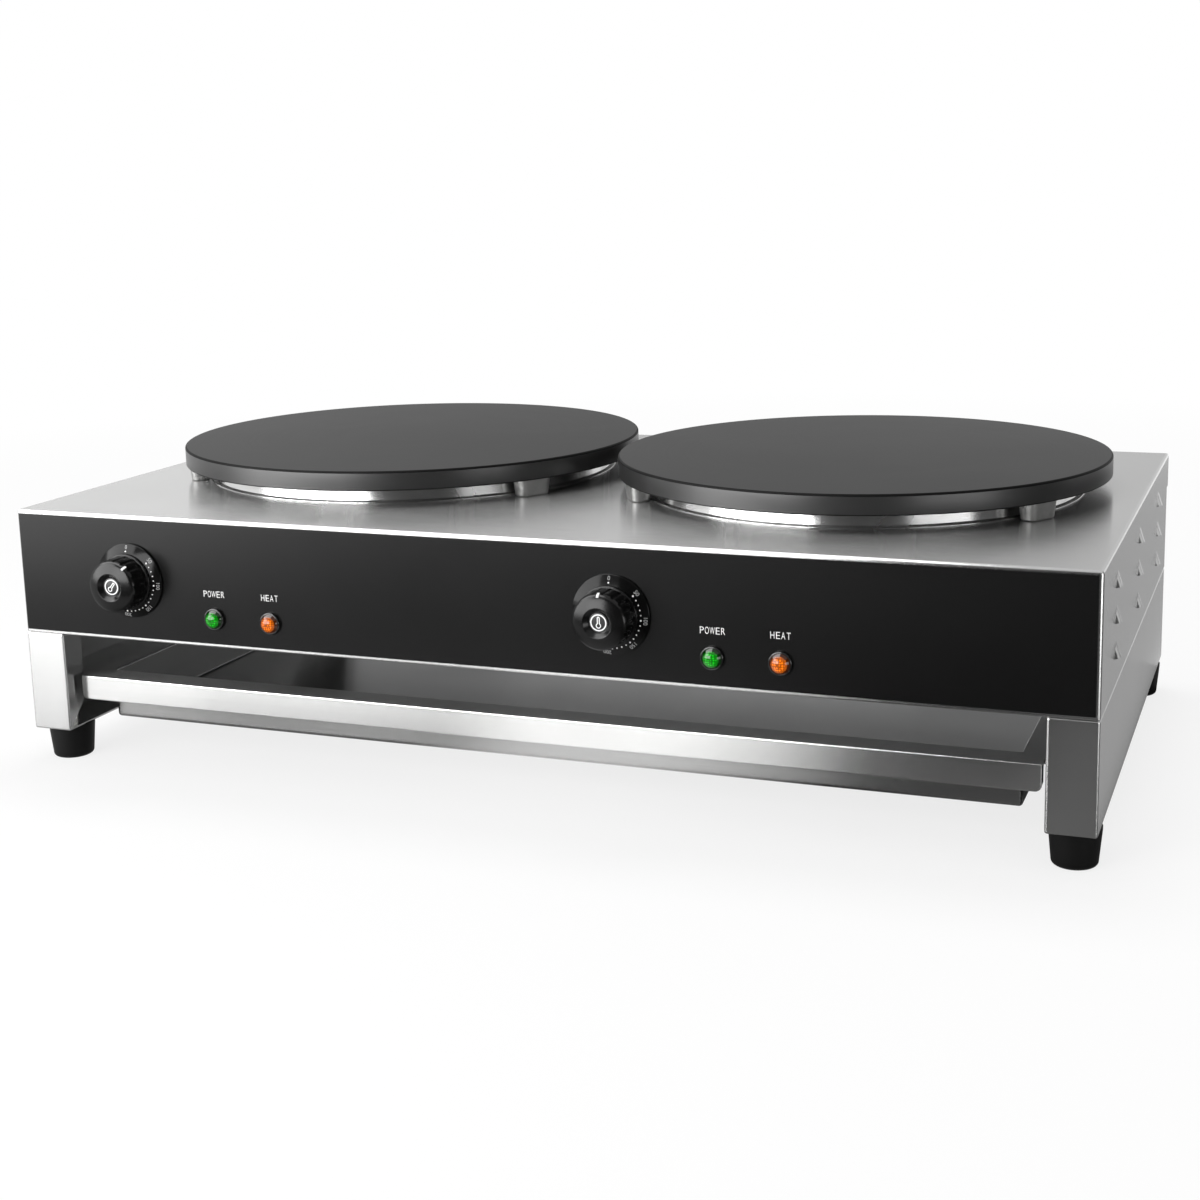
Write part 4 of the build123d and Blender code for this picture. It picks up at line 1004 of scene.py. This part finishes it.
class GRIDDLE_OT_knobs(bpy.types.Operator):
    """Makes the fluted knobs with their pointers and signs"""

    bl_idname = "griddle.knobs"
    bl_label = "Knobs"

    STEPS_A_FLUTE = 20
    CROWN_RADII = (17.5 * MM, 14.5 * MM)
    BOWL_FLOOR = 0.68
    BADGE_RADIUS = 7.2 * MM
    BADGE_THICKNESS = 0.3 * MM
    BADGE_EDGE = 0.1 * MM
    SIGN_RADIUS = 5.7 * MM
    SIGN_LINE = 0.95 * MM
    SIGN_PLACE = 0.25 * MM
    BULB_RADIUS = 1.65 * MM
    BULB_PLACE = -2.2 * MM
    TUBE_RADIUS = 0.75 * MM
    TUBE_END = 3.4 * MM
    TUBE_LINE = 0.7 * MM
    POINTER_LIFT = 0.25 * MM
    POINTER_ROOT = 0.6 * MM
    POINTER_TAPER = 0.55

    def outline(self, look):
        """Half section of a knob, from the middle of its back to the middle of its bowl."""
        base, grip, tip = knob_base_radius, look.body_radius, knob_length
        centre = tip - math.sqrt(look.crown_radius**2 - look.bowl_radius**2)
        radii = (grip, *self.CROWN_RADII)
        crown = [(r, centre + math.sqrt(look.crown_radius**2 - r**2)) for r in radii]
        return rounded([
            (0, 0, 0),
            (base, 0, 0.5 * MM),
            (base, look.base_height, 1.0 * MM),
            (grip, look.base_height, 0.4 * MM),
            (*crown[0], look.front_round),
            (*crown[1], 0),
            (*crown[2], 0),
            (look.bowl_radius, tip, 0.7 * MM),
            (look.bowl_radius * self.BOWL_FLOOR, tip - look.bowl_depth, 2.5 * MM),
            (0, tip - look.bowl_depth, 0),
        ], 8)

    def pointer(self, look, outline):
        """A white bar that runs down the grip's front edge, drawn at the top of the knob."""
        inner, low = look.body_radius - 0.7 * look.front_round, 0.72 * knob_length
        run = [point for point in outline if point.x > inner and point.y > low]
        rows = []
        for i, here in enumerate(run):
            before, after = run[max(i - 1, 0)], run[min(i + 1, len(run) - 1)]
            out = Vector((after.y - before.y, before.x - after.x)).normalized()
            half = look.pointer_width / 2 * (1.0 if i else self.POINTER_TAPER)
            top, root = here + out * self.POINTER_LIFT, here - out * self.POINTER_ROOT
            corners = ((-half, top), (half, top), (half, root), (-half, root))
            rows.append([(x, spot.x, spot.y) for x, spot in corners])
        return skinned(rows)[0]

    def sign(self, look):
        """A ring round the outline of a thermometer, drawn face up at the origin."""
        ring = arc((0, 0), self.SIGN_RADIUS, 0, math.tau, 64)[1:]
        neck = math.asin(self.TUBE_RADIUS / self.BULB_RADIUS)
        sweep = math.tau - 2 * neck
        path = arc((0, self.BULB_PLACE), self.BULB_RADIUS, math.pi / 2 + neck, sweep, 24)
        path += arc((0, self.TUBE_END), self.TUBE_RADIUS, 0, math.pi, 8)
        height = 2 * look.print_height
        return [outline_ribbon(ring, self.SIGN_LINE, height), outline_ribbon(path, self.TUBE_LINE, height)]

    def execute(self, context):
        look = context.scene.griddle_controls
        black = moulded("Knob black", look.black, 0.22, 1100.0, 0.003 * MM, gloss=0.21)
        badge_black = moulded("Badge black", shade(look.black, 0.8), 0.35, 1100.0, 0.004 * MM)
        ink = print_ink(look)
        outline = self.outline(look)
        radius, top, edge = self.BADGE_RADIUS, self.BADGE_THICKNESS, self.BADGE_EDGE
        badge = rounded([(0, 0, 0), (radius, 0, edge), (radius, top, edge), (0, top, 0)], 3)
        cutter = look.body_radius + look.flute_radius - look.flute_depth

        def fluted(a, radius, height):
            if height <= look.base_height or radius < look.body_radius / 2:
                return radius
            pitch = math.tau / look.flutes
            off = (a - math.pi / 2) % pitch - pitch / 2
            reach = look.flute_radius**2 - (cutter * math.sin(off)) ** 2
            return min(radius, cutter * math.cos(off) - math.sqrt(reach)) if reach > 0 else radius

        for side, turn in zip(SIDES, (left_knob_turn, 0.0)):
            middle, _ = span(f"{side}_knob")
            back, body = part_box(f"{side}_knob")[1].y, f"{side}_knob_set"
            place = facing_front(middle.x, back, middle.z, turn)
            knob = mesh_of(turned(outline, place, look.flutes * self.STEPS_A_FLUTE, fluted))
            piece(f"{side}_fluted_knob", knob, black, body, [f"{side}_knob"])
            bar = self.pointer(look, outline)
            bar.transform(place)
            floor = place @ Matrix.Translation((0, 0, knob_length - look.bowl_depth))
            disc = mesh_of(turned(badge, floor, 64))
            piece(f"{side}_badge", disc, badge_black, body, [f"{side}_knob_badge"])
            signs = self.sign(look)
            for shape in signs:
                shape.transform(floor @ Matrix.Translation((0, 0, self.SIGN_PLACE)))
            piece(f"{side}_knob_print", mesh_of(bar, *signs), ink, body, flat=True)
        return {"FINISHED"}


class GRIDDLE_OT_lamps(bpy.types.Operator):
    """Makes the pilot lamps and the words over them"""

    bl_idname = "griddle.lamps"
    bl_label = "Lamps"

    WIDER = {"W": 1.3}
    STROKE_WEIGHT = -0.014
    LENS_ROOT = -1.5 * MM
    LENS_LAP = 0.2 * MM
    RIM_ROUND = 0.9 * MM

    def lens(self, place, depth):
        """A domed lens on its seat; V runs from its back to the tip of its dome."""
        dome = (lens_radius**2 + depth**2) / (2 * depth)
        sweep = math.asin(lens_radius / dome)
        outline = [Vector((0, self.LENS_ROOT)), Vector((lens_radius, self.LENS_ROOT))]
        outline += arc((0, depth - dome), dome, math.pi / 2 - sweep, sweep, 12)
        outline[-1].x = 0.0
        return turned(outline, place, 64)

    def word(self, text, controls, place):
        """A word in letters of one width at an even pitch."""
        letters, size = [], (controls.word_height, controls.print_height)
        for i, letter in enumerate(text):
            mesh = lettering(letter, *size, Matrix(), self.STROKE_WEIGHT)
            wide = max(v.co.x for v in mesh.vertices) - min(v.co.x for v in mesh.vertices)
            step = (i - (len(text) - 1) / 2) * controls.letter_pitch
            stretch = controls.letter_width * self.WIDER.get(letter, 1.0) / wide
            mesh.transform(place @ Matrix.Translation((step, 0, 0)) @ Matrix.Diagonal((stretch, 1, 1, 1)))
            letters.append(mesh)
        return letters

    def execute(self, context):
        look, controls = context.scene.griddle_lamps, context.scene.griddle_controls
        rim = moulded("Lamp rim black", (0.008, 0.008, 0.008), 0.16, 900.0, 0.003 * MM)
        lenses = {
            "power": lit_lens("Green lens", look.green, look.core, look.facet),
            "heat": lit_lens("Orange lens", look.orange, look.core, look.facet),
        }
        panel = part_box("fascia_panel")[0].y
        low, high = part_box("lamp_housings")
        proud, barrel, rim_radius = panel - low.y, panel - high.y, (high.z - low.z) / 2
        bezel = rounded([
            (0, barrel, 0),
            (look.barrel_radius, barrel, 0.4 * MM),
            (look.barrel_radius, 0, 0),
            (rim_radius, 0, 0),
            (rim_radius, proud, self.RIM_ROUND),
            (lens_radius + 0.1 * MM, proud, 0.2 * MM),
            (lens_radius - self.LENS_LAP, proud - self.RIM_ROUND, 0),
            (lens_radius - self.LENS_LAP, proud - look.seat_depth, 0),
            (0, proud - look.seat_depth, 0),
        ])
        bezels, words = [], []
        for side in SIDES:
            for kind, finish in lenses.items():
                node = f"{side}_{kind}_lamp_lens"
                middle, _ = span(node)
                bezels.append(turned(bezel, facing_front(middle.x, panel, middle.z), 64))
                seat = panel - proud
                lens = self.lens(facing_front(middle.x, seat, middle.z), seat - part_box(node)[0].y)
                piece(f"{side}_{kind}_lens", mesh_of(lens), finish, HOUSING, [node])
                spot = facing_front(middle.x, panel, middle.z + controls.word_rise)
                words += self.word(kind.upper(), controls, spot)
        piece("lamp_rims", mesh_of(*bezels), rim, HOUSING, ["lamp_housings"])
        piece("panel_words", mesh_of(*words), print_ink(controls), HOUSING, flat=True)
        return {"FINISHED"}


class GRIDDLE_OT_feet(bpy.types.Operator):
    """Makes the four rubber feet"""

    bl_idname = "griddle.feet"
    bl_label = "Feet"

    def execute(self, context):
        look = context.scene.griddle_feet
        rubber = moulded("Foot rubber", look.rubber, 0.5, 700.0, 0.03 * MM, gloss=0.12)
        outline = rounded([
            (look.hole_radius, look.bore_depth, 0),
            (look.bore_radius, look.bore_depth, 0.5 * MM),
            (look.bore_radius, 0, 0.8 * MM),
            (look.foot_radius, 0, look.edge_round),
            (foot_radius, foot_height - 2 * MM, 0.6 * MM),
            (foot_radius, foot_height, 0),
            (look.hole_radius, foot_height, 0),
        ])
        for end in ("front", "rear"):
            for side in SIDES:
                node = f"{end}_{side}_foot"
                foot = mesh_of(turned(outline, standing(node), 96, ring=True))
                piece(f"{end}_{side}_rubber_foot", foot, rubber, HOUSING, [node])
        return {"FINISHED"}


class GRIDDLE_OT_stage(bpy.types.Operator):
    """Sets the floor, the lights, the surroundings and the camera"""

    bl_idname = "griddle.stage"
    bl_label = "Stage"

    def seen(self, tree):
        """One for what the camera, a reflection or clear glass shows, and nought for other light."""
        path = add(tree, "ShaderNodeLightPath").outputs
        shown = math_node(tree, "MAXIMUM", path["Is Camera Ray"], path["Is Glossy Ray"])
        return math_node(tree, "MAXIMUM", shown, path["Is Transmission Ray"])

    def surroundings(self, context, look):
        """White all round for the eye and for metal, and a plain soft light for the rest."""
        world = bpy.data.worlds.new("Studio")
        world.use_nodes = True
        tree = world.node_tree
        tree.nodes.clear()
        soft = add(tree, "ShaderNodeBackground", {"Color": WHITE, "Strength": look.ambient})
        white = add(tree, "ShaderNodeBackground", {"Color": WHITE})
        shown = {0: self.seen(tree), 1: soft.outputs[0], 2: white.outputs[0]}
        mixed = add(tree, "ShaderNodeMixShader", shown)
        add(tree, "ShaderNodeOutputWorld", {"Surface": mixed.outputs[0]})
        context.scene.world = world

    def floor(self, look):
        """A wide pale floor that keeps a soft shadow."""
        shape = bmesh.new()
        bmesh.ops.create_grid(shape, x_segments=1, y_segments=1, size=12.0)
        mesh = bpy.data.meshes.new("floor")
        shape.to_mesh(mesh)
        shape.free()
        made, tree = bare_material("Pale floor")
        paint = add(tree, "ShaderNodeBsdfDiffuse", {"Color": (*look.floor, 1.0)})
        glow = add(tree, "ShaderNodeEmission", {"Color": WHITE, "Strength": 1.0})
        reach = add(tree, "ShaderNodeVectorMath", {0: object_place(tree)}, operation="LENGTH")
        white = between(tree, reach.outputs["Value"], 0.8, 1.0, 0.7, 2.2)
        pale = math_node(tree, "MULTIPLY", self.seen(tree), white)
        mixed = add(tree, "ShaderNodeMixShader", {0: pale, 1: paint.outputs[0], 2: glow.outputs[0]})
        add(tree, "ShaderNodeOutputMaterial", {"Surface": mixed.outputs[0]})
        mesh.materials.append(made)
        linked("floor", mesh)

    def soft_light(self, name, power, size, place, target):
        """A wide soft light that looks at a point and that no reflection shows."""
        lamp = bpy.data.lights.new(name, "AREA")
        lamp.energy = power
        lamp.shape = "RECTANGLE"
        lamp.size, lamp.size_y = size
        obj = linked(name, lamp)
        obj.location = place
        obj.rotation_euler = (Vector(target) - Vector(place)).to_track_quat("-Z", "Y").to_euler()
        obj.visible_glossy = False

    def card(self, name, corners, tones, strength=1.0):
        """A card that only reflections show; its tones run across it, each with its place from 0 to 1."""
        mesh = bpy.data.meshes.new(name)
        mesh.from_pydata(corners, [], [(0, 1, 2, 3)])
        across = mesh.uv_layers.new(name="Across")
        for loop, u in zip(across.data, (0.0, 0.0, 1.0, 1.0)):
            loop.uv = (u, 0.0)
        made, tree = bare_material(name)
        way = parts(tree, add(tree, "ShaderNodeUVMap", uv_map="Across").outputs["UV"])
        ramp = add(tree, "ShaderNodeValToRGB", {"Fac": way["X"]})
        stops = ramp.color_ramp.elements
        stops.remove(stops[1])
        for i, (spot, tone) in enumerate(tones):
            stop = stops.new(spot) if i else stops[0]
            stop.position = spot
            stop.color = (tone, tone, tone, 1.0)
        glow = add(tree, "ShaderNodeEmission", {"Color": ramp.outputs["Color"], "Strength": strength})
        add(tree, "ShaderNodeOutputMaterial", {"Surface": glow.outputs[0]})
        mesh.materials.append(made)
        obj = linked(name, mesh)
        obj.visible_camera = obj.visible_diffuse = obj.visible_shadow = obj.visible_transmission = False

    def wall(self, start, end, top, foot=0.0):
        """Corners of an upright card over two points of the floor."""
        return [(*start, foot), (*start, top), (*end, top), (*end, foot)]

    def ground(self, x, y, lift=2 * MM):
        """Corners of a card that lies on the floor or hangs level over it."""
        return [(x[0], y[0], lift), (x[0], y[1], lift), (x[1], y[1], lift), (x[1], y[0], lift)]

    def walls(self, look):
        """The upright cards and the hood: name, corners, tones and strength."""
        hood = self.ground((-4.0, -0.05), (-1.5, -0.1), 2.0)
        back = [(0, 1.0), (0.15, 0.9), (0.28, 0.72), (0.4, 0.7), (0.52, 0.86), (0.62, 0.8), (1, 0.78)]
        return (
            ("left softbox", self.wall((-2.6, -1.2), (-1.1, -1.9), 1.7), [(0, 1.0)], look.softbox),
            ("front softbox", self.wall((-1.1, -1.9), (-0.2, -1.9), 0.9, 0.12), [(0, 1.25)], look.softbox),
            ("front flag", self.wall((-0.2, -1.9), (2.2, -1.9), 1.5), [(0, 0.05)]),
            ("right flag", self.wall((1.9, -1.9), (1.9, 0.6), 1.4), [(0, 0.1)]),
            ("right strip", self.wall((0.85, -0.85), (1.05, -0.35), 0.3), [(0, 0.6)], look.softbox),
            ("back strip", self.wall((0.5, 1.7), (1.3, 1.5), 0.35), [(0, 1.0)], 1.2),
            ("front hood", hood, [(0, 1.0)], look.softbox),
            ("backdrop", self.wall((-3.0, 2.4), (3.0, 2.4), 2.4), back),
        )

    def floors(self, look):
        """The cards that lie on the floor: name, corners, tones and strength."""
        wide = (-1.6, 1.6)
        far = [(0, 4.0), (0.2, 3.7), (0.31, 0.5), (0.5, 0.4), (0.6, 0.2)]
        mid = [(0, 0.2), (0.3, 0.12), (0.55, 0.04)]
        near = [(0, 1.0), (0.52, 1.0), (0.565, 0.0), (0.605, 0.0), (0.62, 0.2)]
        close = [(0.34, 1.0), (0.39, 0.25), (0.46, 0.25), (0.49, 1.3)]
        close += [(0.52, 1.3), (0.57, 0.05), (0.62, 0.2)]
        under = [(0, 0.6), (0.4, 0.5), (0.6, 0.04)]
        right = [(0, 0.44), (0.2, 0.36), (0.4, 0.06)]
        return (
            ("far floor", self.ground(wide, (-1.9, -0.8)), far),
            ("mid floor", self.ground(wide, (-0.8, -0.6)), mid),
            ("near floor", self.ground(wide, (-0.6, -0.39)), near, look.near_floor),
            ("close floor", self.ground(wide, (-0.39, -0.15)), close, look.near_floor),
            ("under floor", self.ground((-0.44, 0.44), (-0.15, 0.3)), under),
            ("right floor", self.ground((0.44, 1.9), (-0.15, 2.2)), right),
        )

    def camera(self, context, look):
        """The camera at the picture's place and angle."""
        data = bpy.data.cameras.new("camera")
        data.lens = look.camera_lens
        data.sensor_width = 36.0
        data.shift_x, data.shift_y = look.camera_shift
        yaw, pitch, roll = look.camera_yaw, look.camera_pitch, look.camera_roll
        ahead = Vector((math.sin(yaw) * math.cos(pitch), math.cos(yaw) * math.cos(pitch), math.sin(pitch)))
        right = Vector((math.cos(yaw), -math.sin(yaw), 0.0))
        up = right.cross(ahead)
        turn = Matrix((right, up, -ahead)).transposed().to_4x4() @ Matrix.Rotation(roll, 4, "Z")
        obj = linked("camera", data)
        obj.matrix_world = Matrix.Translation(look.camera_place) @ turn
        context.scene.camera = obj

    def execute(self, context):
        look = context.scene.griddle_stage
        self.surroundings(context, look)
        self.floor(look)
        middle = (solids_box[0] + solids_box[1]) / 2
        aim = (-0.6, 0.0, 0.3)
        self.soft_light("left light", look.key_power, (1.5, 1.3), (-0.97, -1.8, 0.66), aim)
        self.soft_light("top light", look.top_power, (1.0, 0.8), (-0.1, 0.5, 2.3), middle)
        for card in (*self.walls(look), *self.floors(look)):
            self.card(*card)
        self.camera(context, look)
        context.scene.view_settings.view_transform = "Standard"
        return {"FINISHED"}


class GRIDDLE_PT_sidebar(bpy.types.Panel):
    """Lists the griddle's steps and looks"""

    bl_idname = "GRIDDLE_PT_sidebar"
    bl_label = "Griddle"
    bl_space_type = "VIEW_3D"
    bl_region_type = "UI"
    bl_category = "Griddle"

    def draw(self, context):
        for step in STEPS:
            self.layout.operator(step.bl_idname)
        for name, look in LOOKS.items():
            box = self.layout.box()
            box.label(text=look.__doc__)
            for key in look.__annotations__:
                box.prop(getattr(context.scene, name), key)


LOOKS = {
    "griddle_steel": SteelLook,
    "griddle_plates": PlateLook,
    "griddle_controls": ControlLook,
    "griddle_lamps": LampLook,
    "griddle_feet": FootLook,
    "griddle_stage": StageLook,
}
STEPS = (
    GRIDDLE_OT_solids,
    GRIDDLE_OT_plates,
    GRIDDLE_OT_collars,
    GRIDDLE_OT_lugs,
    GRIDDLE_OT_dials,
    GRIDDLE_OT_knobs,
    GRIDDLE_OT_lamps,
    GRIDDLE_OT_feet,
    GRIDDLE_OT_stage,
)


def register():
    for look in LOOKS.values():
        bpy.utils.register_class(look)
    for name, look in LOOKS.items():
        setattr(bpy.types.Scene, name, PointerProperty(type=look))
    for step in (*STEPS, GRIDDLE_PT_sidebar):
        bpy.utils.register_class(step)


def unregister():
    for step in (GRIDDLE_PT_sidebar, *reversed(STEPS)):
        bpy.utils.unregister_class(step)
    for name, look in LOOKS.items():
        delattr(bpy.types.Scene, name)
        bpy.utils.unregister_class(look)


def main():
    register()
    bpy.ops.griddle.solids()
    bpy.ops.griddle.plates()
    bpy.ops.griddle.collars()
    bpy.ops.griddle.lugs()
    bpy.ops.griddle.dials()
    bpy.ops.griddle.knobs()
    bpy.ops.griddle.lamps()
    bpy.ops.griddle.feet()
    bpy.ops.griddle.stage()


if __name__ == "__main__":
    main()
